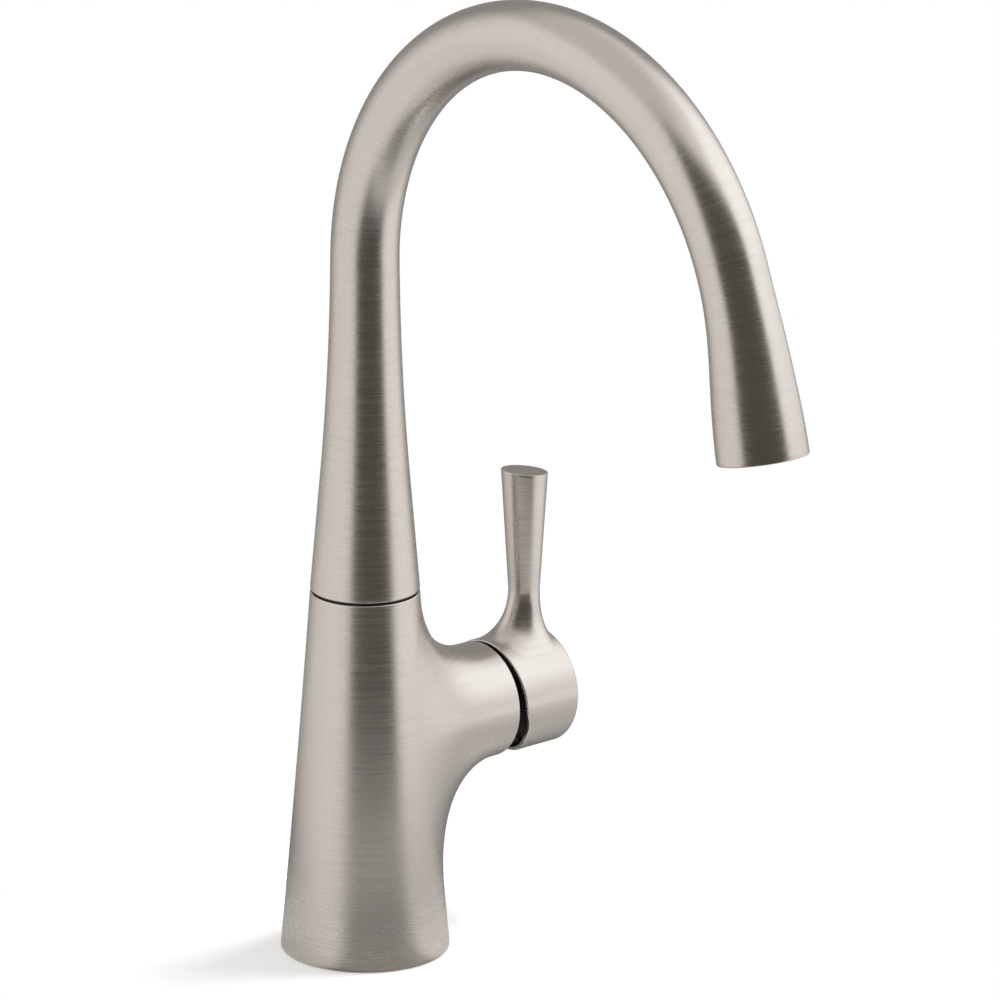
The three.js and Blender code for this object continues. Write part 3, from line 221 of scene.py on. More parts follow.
class Skin:
    """Grids of points, in millimetres, that are sewn together into one closed mesh."""

    def __init__(self):
        self.points, self.grain, self.uv, self.faces, self.inside = [], [], [], [], []
        self.count = 0

    def add(self, grid, grain=None, uv=None, inside=0):
        """Adds a grid of rows and columns. Grain is the place of each point when the piece is
        pulled straight, which sets the brush lines. Inside marks a bore whose nickel is painted
        near-black, as painted shade."""
        grid = np.asarray(grid, float)
        rows, columns = grid.shape[:2]
        index = self.count + np.arange(rows * columns).reshape(rows, columns)
        quads = np.stack([index[:-1, :-1], index[:-1, 1:], index[1:, 1:], index[1:, :-1]], -1)
        self.faces.extend(quads.reshape(-1, 4).tolist())
        self.points.append(grid.reshape(-1, 3))
        self.grain.append((grid if grain is None else grain).reshape(-1, 3))
        self.uv.append(np.zeros((rows * columns, 2)) if uv is None else uv.reshape(-1, 2))
        self.inside.append(np.full(rows * columns, float(inside)))
        self.count += rows * columns
        return self

    def make(self, name, body, slot, material, nodes, place=None, sharp=SHARP_ANGLE):
        """Sews the grids, and makes a piece of them."""
        points = np.concatenate(self.points) * MM
        mesh = bpy.data.meshes.new(name)
        mesh.from_pydata(points.tolist(), [], self.faces)
        grain = mesh.attributes.new("grain", "FLOAT_VECTOR", "POINT")
        grain.data.foreach_set("vector", (np.concatenate(self.grain) * MM).ravel())
        inside = mesh.attributes.new("inside", "FLOAT", "POINT")
        inside.data.foreach_set("value", np.concatenate(self.inside))
        corners = np.zeros(len(mesh.loops), np.int32)
        mesh.loops.foreach_get("vertex_index", corners)
        layer = mesh.uv_layers.new(name="grain_uv")
        layer.data.foreach_set("uv", np.concatenate(self.uv)[corners].ravel())
        sewn = bmesh.new()
        sewn.from_mesh(mesh)
        bmesh.ops.remove_doubles(sewn, verts=sewn.verts, dist=SEW_DISTANCE * MM)
        bmesh.ops.recalc_face_normals(sewn, faces=sewn.faces)
        sewn.to_mesh(mesh)
        sewn.free()
        if place is not None:
            mesh.transform(place)
        return dressed(name, mesh, body, material, nodes, sharp)


def turned(profile, section=None):
    """A closed profile of (radius, height) points, turned about +Z. Section, where given, makes
    it other than round: it takes a point's radius and height, and the angles round it."""
    angle = np.linspace(0, 2 * math.pi, TURNED_SIDES + 1)
    rows = []
    for r, z in profile:
        radius = r if section is None else section(r, z, angle)
        rows.append(np.stack([radius * np.cos(angle), radius * np.sin(angle),
                              np.full_like(angle, z)], -1))
    return np.array(rows)


def thread(outer, low, high, pitch, depth):
    """The rows of a thread from low to high, and its section, which runs out at both ends."""
    def section(r, z, angle):
        if r < outer or not low < z < high:
            return r
        wave = 2 * abs((z / pitch - angle / (2 * math.pi)) % 1 - 0.5)
        flank = np.clip(THREAD_RISE * (wave - 0.5) + 0.5, 0, 1)
        return outer - depth * flank * min(1, (z - low) / pitch, (high - z) / pitch)
    count = round((high - low) / pitch * THREAD_STEPS)
    return [(outer, z) for z in np.linspace(low, high, count + 1)], section


def corner_of(flat):
    """Radius of a hexagon's corners."""
    return flat / math.cos(math.pi / 6)


def hexagonal(flat):
    """Cuts a section to a hexagon, whose corners lie along X."""
    def section(r, z, angle):
        from_flat = angle % (math.pi / 3) - math.pi / 6
        return np.minimum(r, flat / np.cos(from_flat))
    return section


def chamfer(flat, z_face, z_full):
    """Cone from just inside a hexagon's flats, at a face, out to its corners."""
    radii = np.linspace(CHAMFER_INSET * flat, corner_of(flat), CHAMFER_STEPS)
    return list(zip(radii, np.linspace(z_face, z_full, CHAMFER_STEPS)))


def unit(vectors):
    return vectors / np.linalg.norm(vectors, axis=-1, keepdims=True)


def bezier(t, *points):
    """Where a curve with these control points is at a share t of it."""
    while len(points) > 1:
        points = [here + (after - here) * t for here, after in zip(points, points[1:])]
    return points[0]


def rounded(profile, radius, closed=True):
    """A profile whose corners are rounded, as far as their sides leave room for it."""
    points = [np.array(p, float) for p in profile]
    if closed and np.allclose(points[0], points[-1]):
        points.pop()
    result = []
    for i, here in enumerate(points):
        before, after = points[i - 1], points[(i + 1) % len(points)]
        end = not closed and i in (0, len(points) - 1)
        if end or np.allclose(here, before) or np.allclose(here, after):
            result.append(here)
            continue
        back, on = np.linalg.norm(before - here), np.linalg.norm(after - here)
        reach = min(radius, CORNER_SHARE * back, CORNER_SHARE * on)
        start = here + (before - here) / back * reach
        stop = here + (after - here) / on * reach
        result += [bezier(t, start, here, stop) for t in np.linspace(0, 1, EDGE_STEPS + 1)]
    if closed:
        result.append(result[0])
    return result


def ring_profile(inner, outer, low, high):
    return [(inner, low), (outer, low), (outer, high), (inner, high)]


def quarter(start, stop, corner):
    """Points of a quarter round from start to stop about the corner that it cuts off."""
    start, stop, corner = (np.array(p, float) for p in (start, stop, corner))
    centre = start + stop - corner
    angle = np.linspace(0, math.pi / 2, EDGE_STEPS + 1)[:, None]
    return centre + (start - centre) * np.cos(angle) + (stop - centre) * np.sin(angle)


def window():
    """Once round the edge of an unrolled surface: its angle, from -pi to pi, and its share of
    the way from the low edge to the high one. Ends where it starts."""
    turn = np.linspace(-math.pi, math.pi, ROUND_STEPS + 1)
    rise = np.linspace(0, 1, SIDE_STEPS + 1)
    side = np.full(SIDE_STEPS, math.pi)
    angle = np.concatenate([side, turn[:0:-1], -side, turn])
    share = np.concatenate([rise[:-1], np.ones(ROUND_STEPS), rise[:0:-1], np.zeros(ROUND_STEPS + 1)])
    return angle, share


def spread(hole, edge):
    """Rows of values from a hole's edge to a surface's own edge, close together at the end."""
    way = np.append(np.linspace(0, SUPPORT, SPREAD_STEPS), 1)[:, None]
    return hole + (edge - hole) * way


def blend(foot, normal, neck, along, foot_pull, neck_pull):
    """Cubic sections from the feet, where they leave along the surface, to the necks."""
    chord = neck - foot
    leave = chord - (chord * normal).sum(1, keepdims=True) * normal
    arrive = (chord @ along)[:, None] * along
    t = np.linspace(0, 1, BLEND_STEPS + 1)[:, None, None]
    return bezier(t, foot, foot + leave * foot_pull, neck - arrive * neck_pull, neck)


# ---- Materials ----

def nodes_of(name):
    """A new material, its tree and its shader."""
    material = bpy.data.materials.new(name)
    material.use_nodes = True
    tree = material.node_tree
    return material, tree, tree.nodes["Principled BSDF"]


def scaled(tree, source, scale):
    """The source vector, stretched by a scale for each axis."""
    mapping = tree.nodes.new("ShaderNodeMapping")
    mapping.inputs["Scale"].default_value = scale
    tree.links.new(source, mapping.inputs["Vector"])
    return mapping.outputs["Vector"]


def attribute(tree, name, output="Fac"):
    node = tree.nodes.new("ShaderNodeAttribute")
    node.attribute_name = name
    return node.outputs[output]


def noise(tree, vector, scale, detail, roughness=0.5):
    node = tree.nodes.new("ShaderNodeTexNoise")
    node.inputs["Scale"].default_value = scale
    node.inputs["Detail"].default_value = detail
    node.inputs["Roughness"].default_value = roughness
    tree.links.new(vector, node.inputs["Vector"])
    return node.outputs["Fac"]


def ranged(tree, value, low, high, start=0.3, stop=0.7, smooth=False):
    """Takes a value from start..stop to low..high."""
    node = tree.nodes.new("ShaderNodeMapRange")
    node.interpolation_type = "SMOOTHSTEP" if smooth else "LINEAR"
    node.inputs["From Min"].default_value = start
    node.inputs["From Max"].default_value = stop
    node.inputs["To Min"].default_value = low
    node.inputs["To Max"].default_value = high
    tree.links.new(value, node.inputs["Value"])
    return node.outputs["Result"]


def mixed(tree, factor, first, second):
    node = tree.nodes.new("ShaderNodeMix")
    node.data_type = "RGBA"
    node.inputs["A"].default_value = (*first, 1)
    node.inputs["B"].default_value = (*second, 1)
    tree.links.new(factor, node.inputs["Factor"])
    return node.outputs["Result"]


def bumped(tree, shader, height, strength, distance):
    node = tree.nodes.new("ShaderNodeBump")
    node.inputs["Strength"].default_value = strength
    node.inputs["Distance"].default_value = distance
    tree.links.new(height, node.inputs["Height"])
    tree.links.new(node.outputs["Normal"], shader.inputs["Normal"])


def arithmetic(tree, operation, *values):
    """A sum, product or the like of values that are sockets or plain numbers."""
    node = tree.nodes.new("ShaderNodeMath")
    node.operation = operation
    for value, socket in zip(values, node.inputs):
        if isinstance(value, bpy.types.NodeSocket):
            tree.links.new(value, socket)
        else:
            socket.default_value = value
    return node.outputs["Value"]


def two_shaders(tree, factor, first, second):
    """Ends a material in a mix of two shaders."""
    both = tree.nodes.new("ShaderNodeMixShader")
    for value, socket in zip((factor, first, second), both.inputs):
        tree.links.new(value, socket)
    tree.links.new(both.outputs["Shader"], tree.nodes["Material Output"].inputs["Surface"])


NICKEL_LIGHT = (0.628, 0.576, 0.53)
NICKEL_DARK = (0.602, 0.55, 0.505)
NICKEL_ROUGHNESS = (0.245, 0.325)
NICKEL_ANISOTROPY = 0.35
# painted shade: near-black nickel for the hub's bore, standing for the shade deep inside it
PAINTED_BORE_SHADE = (0.03, 0.025, 0.022)
LINE_GRAIN, STREAK_GRAIN = (35, 35, 2000), (45, 45, 800)  # changes in a metre, along each axis
STREAK_RANGE = (0.57, 0.74)  # of the noise, from no streak to a full one
STREAK_DEPTH = 0.5  # of a line's
CLOUD_SCALE, CLOUD_SHARE = 28, 0.4
SHEEN_RANGE = (0.5, 0.9)
NICKEL_BUMP = (0.06, 0.00003)  # strength, and height in metres
TOOL_GRAIN, TOOL_BUMP = (40, 40, 2500), (0.3, 0.00004)
DULL_SCALE, WEAR = 60, 0.14
PIT_SCALE, PIT_HEIGHT, PIT_STRENGTH = 900, 0.00003, 0.35
TONE_SCALE = 45
PIT_SHEEN = (-0.05, 0.08)


def brushed_nickel(name, along_uv=False):
    """Nickel with fine lines across the grain's own z, and a slightly uneven sheen."""
    material, tree, shader = nodes_of(name)
    place = attribute(tree, "grain", "Vector")
    fine = noise(tree, scaled(tree, place, LINE_GRAIN), 1, detail=1.5)
    broad = noise(tree, scaled(tree, place, STREAK_GRAIN), 1, detail=2)
    streaks = ranged(tree, broad, 0, 1, *STREAK_RANGE)
    cloud = noise(tree, place, CLOUD_SCALE, detail=2)
    lines = arithmetic(tree, "MULTIPLY_ADD", streaks, STREAK_DEPTH, fine)
    shader.inputs["Metallic"].default_value = 1.0
    shader.inputs["Anisotropic"].default_value = NICKEL_ANISOTROPY
    tone = mixed(tree, streaks, NICKEL_LIGHT, NICKEL_DARK)
    # painted shade: where the inside attribute is set, the nickel's tone gives way to near-black
    tone_and_bore_shade = mixed(tree, attribute(tree, "inside"), NICKEL_DARK, PAINTED_BORE_SHADE)
    tree.links.new(tone, tone_and_bore_shade.node.inputs["A"])
    tree.links.new(tone_and_bore_shade, shader.inputs["Base Color"])
    sheen = arithmetic(tree, "MULTIPLY_ADD", cloud, CLOUD_SHARE, fine)
    roughness = ranged(tree, sheen, *NICKEL_ROUGHNESS, *SHEEN_RANGE)
    tree.links.new(roughness, shader.inputs["Roughness"])
    bumped(tree, shader, lines, *NICKEL_BUMP)
    tangent = tree.nodes.new("ShaderNodeTangent")
    tangent.direction_type = "UV_MAP" if along_uv else "RADIAL"
    if along_uv:
        tangent.uv_map = "grain_uv"
    else:
        tangent.axis = "Z"
    tree.links.new(tangent.outputs["Tangent"], shader.inputs["Tangent"])
    return material


def worked_metal(name, light, dark, roughness):
    """Turned metal with fine tool rings along its own Z, and a little dullness in patches."""
    material, tree, shader = nodes_of(name)
    place = tree.nodes.new("ShaderNodeTexCoord").outputs["Object"]
    tool = noise(tree, scaled(tree, place, TOOL_GRAIN), 1, detail=2)
    dull = noise(tree, place, DULL_SCALE, detail=4, roughness=0.6)
    shader.inputs["Metallic"].default_value = 1.0
    tree.links.new(mixed(tree, ranged(tree, dull, 0, 1), dark, light), shader.inputs["Base Color"])
    worn = ranged(tree, dull, roughness, roughness + WEAR)
    tree.links.new(worn, shader.inputs["Roughness"])
    bumped(tree, shader, tool, *TOOL_BUMP)
    return material


def moulded(name, light, dark, roughness, pit_scale=PIT_SCALE, height=PIT_HEIGHT):
    """Rubber, plastic or ceramic, with a fine moulded grain and a slight change of tone."""
    material, tree, shader = nodes_of(name)
    place = tree.nodes.new("ShaderNodeTexCoord").outputs["Object"]
    pits = noise(tree, place, pit_scale, detail=2)
    tone = noise(tree, place, TONE_SCALE, detail=3)
    tree.links.new(mixed(tree, ranged(tree, tone, 0, 1), dark, light), shader.inputs["Base Color"])
    sheen = ranged(tree, pits, *(roughness + change for change in PIT_SHEEN))
    tree.links.new(sheen, shader.inputs["Roughness"])
    bumped(tree, shader, pits, PIT_STRENGTH, height)
    return material


NICKEL = brushed_nickel("brushed_nickel")
NICKEL_TUBE = brushed_nickel("brushed_nickel_tube", along_uv=True)
FINISHES = {  # by material slot
    "brass": worked_metal("brass", (0.62, 0.45, 0.2), (0.5, 0.34, 0.13), 0.26),
    "steel": worked_metal("steel", (0.56, 0.57, 0.58), (0.46, 0.47, 0.48), 0.24),
    "rubber": moulded("rubber", (0.022, 0.022, 0.023), (0.014, 0.014, 0.015), 0.62),
    "ceramic": moulded("ceramic", (0.86, 0.84, 0.79), (0.82, 0.8, 0.75), 0.2, 2500, 0.000005),
    "grey_plastic": moulded("grey_plastic", (0.27, 0.28, 0.29), (0.22, 0.23, 0.24), 0.42),
    "white_plastic": moulded("white_plastic", (0.77, 0.76, 0.72), (0.72, 0.71, 0.67), 0.4),
    # black plastic, as on the cartridge nut: partly its own colour, partly painted shade that keeps
    # the gap under the hub dark
    "black_plastic": moulded("black_plastic", (0.02, 0.02, 0.022), (0.012, 0.012, 0.014), 0.4),
    "brushed_nickel": NICKEL,
}


def grain_round(piece, x, y):
    """Centres the brushing of a piece on the upright axis through x, y."""
    mesh = piece.data
    mesh.use_auto_texspace = False
    mesh.texspace_location = (x * MM, y * MM, 0)
    mesh.texspace_size = (1, 1, 1)


# ---- Body casting ----

def body_radius(z):
    """Radius of the cone, which is slightly hollow by its bow."""
    t = z / BODY_H
    return BASE_R + (BODY_TOP_R - BASE_R) * t - 4 * BODY_BOW * t * (1 - t)


def body_slope(z):
    return (BODY_TOP_R - BASE_R - 4 * BODY_BOW * (1 - 2 * z / BODY_H)) / BODY_H


def on_cone(angle, z):
    radius = body_radius(z)
    return np.stack([radius * np.cos(angle), radius * np.sin(angle), z], -1)


def by_sine(top, side, bottom, angle):
    """A value that turns smoothly from top to side and on to bottom."""
    s = np.sin(angle)
    return side + (np.where(s > 0, top, bottom) - side) * s * s


def mix(low, high, share):
    """A column of values between low and high."""
    return (low + (high - low) * share)[:, None]


def round_stub(profile, angle):
    """(x, radius) points turned about the stub's axis. Each may be an array by angle."""
    rows = []
    for x, radius in profile:
        x = np.broadcast_to(x, angle.shape)
        rows.append(np.stack([x, radius * np.cos(angle), STUB_Z + radius * np.sin(angle)], -1))
    return np.array(rows)


def casting():
    """The cone, the stub and the blend between them, as one surface."""
    skin = Skin()
    low, high = BASE_EDGE, BODY_H - SEAM_EDGE
    turn, share = window()
    edge_z = low + (high - low) * share
    reach = STUB_R + np.where(edge_z > STUB_Z, BLEND_RISE, BLEND_DROP)
    angle = np.arctan2((edge_z - STUB_Z) / reach, turn / BLEND_HALF_TURN)
    c, s = np.cos(angle), np.sin(angle)
    fullness = np.where(s > 0, FULLNESS_TOP, FULLNESS_BOTTOM)
    swell = (abs(c) ** fullness + abs(s) ** fullness) ** (-1 / fullness)
    foot_turn = BLEND_HALF_TURN * c * swell
    foot_z = STUB_Z + (STUB_R + np.where(s > 0, BLEND_RISE, BLEND_DROP)) * s * swell
    skin.add(on_cone(spread(foot_turn, turn), spread(foot_z, edge_z)))

    foot = on_cone(foot_turn, foot_z)
    normal = unit(np.stack([np.cos(foot_turn), np.sin(foot_turn), -body_slope(foot_z)], -1))
    neck_x = by_sine(NECK_TOP, NECK_SIDE, NECK_BOTTOM, angle)
    neck = round_stub([(neck_x, STUB_R)], angle)[0]
    up = (s + 1) / 2
    skin.add(blend(foot, normal, neck, np.array([1.0, 0, 0]),
                   mix(PULL_BODY_BOTTOM, PULL_BODY_TOP, up),
                   mix(PULL_STUB_BOTTOM, PULL_STUB_TOP, up)))

    rim = STUB_REACH - STUB_EDGE
    stub = [(neck_x + (rim - neck_x) * t, STUB_R) for t in STUB_ROWS]
    stub += [tuple(p) for p in quarter(
        (rim, STUB_R), (STUB_REACH, STUB_R - STUB_EDGE), (STUB_REACH, STUB_R))]
    inner = [(STUB_REACH, CHAMBER_MOUTH_R), (CHAMBER_STEP_X, CHAMBER_MOUTH_R),
             (CHAMBER_STEP_X, CHAMBER_R), (CHAMBER_FLOOR_X, CHAMBER_R), (CHAMBER_FLOOR_X, 0)]
    stub += [tuple(p) for p in rounded([stub[-1]] + inner, STUB_EDGE, closed=False)]
    skin.add(round_stub(stub, angle))

    around = np.linspace(-math.pi, math.pi, ROUND_STEPS + 1)
    top = list(quarter((BODY_TOP_R, high), (BODY_TOP_R - SEAM_EDGE, BODY_H), (BODY_TOP_R, BODY_H)))
    top[0][0] = body_radius(high)
    top += rounded([top[-1], (WASHER_RECESS_R, BODY_H), (WASHER_RECESS_R, BODY_H - WASHER_RECESS),
                    (SOCKET_R, BODY_H - WASHER_RECESS), (SOCKET_R, BODY_H - SOCKET_DEPTH),
                    (0, BODY_H - SOCKET_DEPTH)], SOCKET_EDGE, closed=False)
    foot_edge = body_radius(BASE_EDGE)
    base = list(quarter((foot_edge, BASE_EDGE), (foot_edge - BASE_EDGE, 0), (foot_edge, 0)))
    base += rounded([base[-1], (GASKET_RECESS_R, 0), (GASKET_RECESS_R, GASKET_RECESS),
                     (FLANGE_RECESS_R, GASKET_RECESS), (FLANGE_RECESS_R, FLANGE_RECESS),
                     (CAVITY_FOOT_R, FLANGE_RECESS), (CAVITY_TOP_R, CAVITY_H), (0, CAVITY_H)],
                    RECESS_EDGE, closed=False)
    for profile in (top, base):
        rows = [[(r * math.cos(a), r * math.sin(a), z) for a in around] for r, z in profile]
        skin.add(rows)
    piece = skin.make("body_casting", "body", "brushed_nickel", NICKEL, ["faucet_body"])
    grain_round(piece, 0, 0)


# ---- Spout ----

def spout_place(distance):
    """Centre (y, z) and turn of the spout's line at a distance along it."""
    y, z, turn, left = 0.0, SEAM_TOP_Z, 0.0, distance
    for length, radius in SPOUT_RUNS:
        d = min(left, length)
        bend = d / radius
        if bend > 0:
            y += radius * (math.cos(turn + bend) - math.cos(turn))
            z += radius * (math.sin(turn + bend) - math.sin(turn))
        else:
            y -= d * math.sin(turn)
            z += d * math.cos(turn)
        turn += bend
        left -= d
    return y, z, turn


def spout_radius(distance):
    curve = TAPER_BLEND_R * math.sin(TAPER_ANGLE)
    drop = TAPER_BLEND_R * (1 - math.cos(TAPER_ANGLE))
    cone = (BODY_TOP_R - TUBE_R - drop) / math.tan(TAPER_ANGLE)
    to_tube = cone + curve - distance
    if to_tube > curve:
        return TUBE_R + drop + (to_tube - curve) * math.tan(TAPER_ANGLE)
    if to_tube > 0:
        return TUBE_R + TAPER_BLEND_R - math.sqrt(TAPER_BLEND_R ** 2 - to_tube ** 2)
    t = min((SPOUT_LENGTH - distance) / FLARE_LENGTH, 1)
    return TUBE_R + (OUTLET_R - TUBE_R) * (1 - t * t * (3 - 2 * t))


def spout():
    """One tube from the seam to the outlet, with its bore and the aerator's seat."""
    foot, tip = SEAM_EDGE, SPOUT_LENGTH - TIP_EDGE
    profile = list(quarter((0, BODY_TOP_R - SEAM_EDGE), (foot, spout_radius(foot)), (0, BODY_TOP_R)))
    for d in np.linspace(foot, tip, SPOUT_RINGS)[1:-1]:
        profile.append((d, spout_radius(d)))
    profile += list(quarter((tip, OUTLET_R), (SPOUT_LENGTH, OUTLET_R - TIP_EDGE),
                            (SPOUT_LENGTH, OUTLET_R)))
    bore_end = SPOUT_LENGTH - AERATOR_DEPTH
    mouth = [profile[-1], (SPOUT_LENGTH, AERATOR_BORE_R), (bore_end, AERATOR_BORE_R),
             (bore_end, spout_radius(bore_end) - TUBE_WALL)]
    profile += rounded(mouth, TIP_EDGE / 2, closed=False)
    for d in np.linspace(bore_end, 0, BORE_RINGS)[1:]:
        profile.append((d, spout_radius(d) - TUBE_WALL))
    profile.append(profile[0])

    angle = np.linspace(0, 2 * math.pi, SPOUT_SIDES + 1)
    grid, straight, uv = [], [], []
    for d, r in profile:
        y, z, turn = spout_place(d)
        across, out = r * np.cos(angle), r * np.sin(angle)
        grid.append(np.stack([across, y - out * math.cos(turn), z - out * math.sin(turn)], -1))
        straight.append(np.stack([across, out, np.full_like(angle, d)], -1))
        uv.append(np.stack([angle * TUBE_R, np.full_like(angle, d)], -1))
    skin = Skin().add(grid, np.array(straight), np.array(uv) * MM)
    skin.make("spout", "spout", "brushed_nickel", NICKEL_TUBE, ["spout_tube"])


# ---- Handle ----

def rim_x(height):
    """Where the hub's rim lies at a height above the stub's axis: close to the stub at the top,
    with a step and a toe below, which leave room for the tilt."""
    start, first, second, stop, turn, toe = np.array([
        (HUB_GAP_SIDE, -RELIEF_START),
        (HUB_GAP_SIDE + RELIEF_LEAVE, -RELIEF_START - RELIEF_TURN),
        (HUB_GAP_LOW, -RELIEF_END + RELIEF_ARRIVE),
        (HUB_GAP_LOW, -RELIEF_END),
        (HUB_GAP_LOW, -TOE_TURN),
        (HUB_GAP_BOTTOM, -HUB_R - RIM_CUT),
    ])
    t = np.linspace(0, 1, RIM_STEPS)[:, None]
    step = bezier(t, start, first, second, stop)
    low = bezier(t, stop, turn, toe)[1:]
    gaps, heights = np.concatenate([[(HUB_GAP_TOP, HUB_R)], step, low]).T
    return STUB_REACH + np.interp(-np.asarray(height), -heights, gaps)


HUB_CROWN_X = HUB_END_X - HUB_CROWN
HUB_CROWN_RUN = HUB_CROWN * math.pi / 2


def hub_profile(run):
    """Radius and x of the hub's skin, and its outward normal, at a distance along it."""
    bend = np.clip((run - HUB_CROWN_X) / HUB_CROWN_RUN, 0, 1) * math.pi / 2
    radius = HUB_R - HUB_SHOULDER * (1 - np.cos(bend))
    x = np.minimum(run, HUB_CROWN_X) + HUB_CROWN * np.sin(bend)
    out, along = HUB_CROWN * np.cos(bend), HUB_SHOULDER * np.sin(bend)
    size = np.hypot(out, along)
    return radius, x, out / size, along / size


def round_hub(x, radius, turn):
    """Points about the stub's axis, at a turn from the top."""
    x = np.broadcast_to(x, turn.shape)
    return np.stack([x, radius * np.sin(turn), STUB_Z + radius * np.cos(turn)], -1)


def on_hub(turn, run):
    radius, x, _, _ = hub_profile(run)
    return round_hub(x, radius, turn)


def lever_top(angle, radius):
    """The cone of the lever, cut by its slanted top, for each angle round it. Radius is the
    cone's radius at the height of the top."""
    slope = (LEVER_TOP_R - WAIST_R) / (LEVER_TOP_Z - WAIST_Z)
    lean = math.tan(LEVER_TILT) * np.cos(angle)
    rise = -lean * radius / (1 + lean * slope)
    r = radius + slope * rise
    return np.stack([LEVER_X + r * np.cos(angle), r * np.sin(angle), LEVER_TOP_Z + rise], -1)


def handle():
    """The hub, the lever that grows out of it, and the bore for the cartridge's stem."""
    skin = Skin()
    turn, share = window()
    low = rim_x(HUB_R * np.cos(turn)) + HUB_EDGE
    high = HUB_CROWN_X + HUB_CROWN_RUN
    edge_run = low + (high - low) * share
    reach = np.where(edge_run > LEVER_X, FLARE_OUT, FLARE_IN)
    half_width = math.asin(FLARE_SIDE / HUB_R)
    angle = np.arctan2(turn / half_width, (edge_run - LEVER_X) / reach)
    c, s = np.cos(angle), np.sin(angle)
    foot_turn = np.arcsin(FLARE_SIDE * s / HUB_R)
    foot_run = LEVER_X + np.where(c < 0, FLARE_IN, FLARE_OUT) * c
    skin.add(on_hub(spread(foot_turn, turn), spread(foot_run, edge_run)))

    _, _, out, along = hub_profile(foot_run)
    normal = np.stack([along, out * np.sin(foot_turn), out * np.cos(foot_turn)], -1)
    circle = np.stack([c, s, np.zeros_like(c)], -1)
    waist = np.array([LEVER_X, 0, WAIST_Z]) + WAIST_R * circle
    skin.add(blend(on_hub(foot_turn, foot_run), normal, waist, np.array([0, 0, 1.0]),
                   PULL_HUB, PULL_LEVER))

    crest = lever_top(angle, LEVER_TOP_R)
    below = crest + unit(waist - crest) * LEVER_EDGE
    centre = crest.mean(0) * [1, 0, 1]
    beside = crest + unit(centre - crest) * LEVER_EDGE
    shaft = [waist + (below - waist) * t for t in SHAFT_ROWS]
    edge = [bezier(t, below, crest, beside) for t in np.linspace(0, 1, EDGE_STEPS + 1)]
    dish_r = LEVER_TOP_R - DISH_RIM
    up = np.array([math.sin(LEVER_TILT), 0, math.cos(LEVER_TILT)])
    dish = []
    for t in DISH_ROWS:
        flat = centre + (crest - centre) * (dish_r / LEVER_TOP_R) * t
        dish.append(flat - up * DISH_DEPTH * (1 - t * t))
    skin.add(shaft + edge + dish)

    around = np.linspace(-math.pi, math.pi, ROUND_STEPS + 1)

    def rim_ring(radius, back):
        return round_hub(rim_x(radius * np.cos(around)) + back, radius, around)

    edge = [rim_ring(HUB_R, HUB_EDGE)]
    for a in np.linspace(0, math.pi / 2, EDGE_STEPS + 1):
        edge.append(rim_ring(HUB_R - HUB_EDGE * (1 - math.cos(a)), HUB_EDGE * (1 - math.sin(a))))
    edge += [rim_ring(HUB_BORE_R + HUB_EDGE / 4, 0), rim_ring(HUB_BORE_R, HUB_EDGE / 4)]
    skin.add(edge)
    rim = [edge[-1], rim_ring(HUB_BORE_R, HUB_EDGE)]
    square = STEM_SOCKET_HALF / np.maximum(abs(np.sin(around)), abs(np.cos(around)))
    for x, radius in ((HUB_FLOOR_X, HUB_BORE_R), (HUB_FLOOR_X, square),
                      (STEM_SOCKET_END_X, square), (STEM_SOCKET_END_X, 0)):
        rim.append(round_hub(x, radius, around))
    # the bore's nickel is painted near-black here, as painted shade
    skin.add(rim, inside=1)
    crown_r = HUB_R - HUB_SHOULDER
    skin.add([round_hub(HUB_END_X, r, around) for r in (crown_r, crown_r / 2, 0)])
    piece = skin.make("handle", "handle", "brushed_nickel", NICKEL, ["handle_lever"])
    grain_round(piece, LEVER_X, 0)


# ---- Small parts ----

SLOTS = {row["node"]: row["material_slot"] for row in frame["record"]["subparts"]}
CARRIERS = {node: body for body, nodes in frame["record"]["behaviour"]["bodies"].items()
            for node in nodes}


def detail(node, grid, place=None, sharp=SHARP_ANGLE):
    """A finer piece that stands for a node of the frame."""
    slot = SLOTS[node]
    skin = Skin().add(grid)
    skin.make(node + "_detail", CARRIERS[node], slot, FINISHES[slot], [node], place, sharp)


def washers():
    """Flat washers with rounded edges, and round O-rings that keep their solids' size."""
    for node, inner, outer, heights, edge in (
        ("glide_washer", GLIDE_WASHER_BORE_R, GLIDE_WASHER_R, GLIDE_WASHER_Z, GLIDE_WASHER_EDGE),
        ("base_gasket", SHANK_HOLE_R, GASKET_R, GASKET_Z, GASKET_EDGE),
        ("deck_washer", SHANK_HOLE_R, DECK_WASHER_R, DECK_WASHER_Z, DECK_WASHER_EDGE),
        ("steel_washer", SHANK_HOLE_R, DECK_WASHER_R, STEEL_WASHER_Z, STEEL_WASHER_EDGE),
    ):
        detail(node, turned(rounded(ring_profile(inner, outer, *heights), edge)))
    for node in ("o_ring_upper", "o_ring_lower"):
        low, high = np.array(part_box(node)) / MM
        section = (high[2] - low[2]) / 2
        centre, middle = high[0] - section, (low[2] + high[2]) / 2
        detail(node, turned([(centre + section * math.cos(a), middle + section * math.sin(a))
                             for a in np.linspace(0, 2 * math.pi, SECTION_SIDES + 1)]))


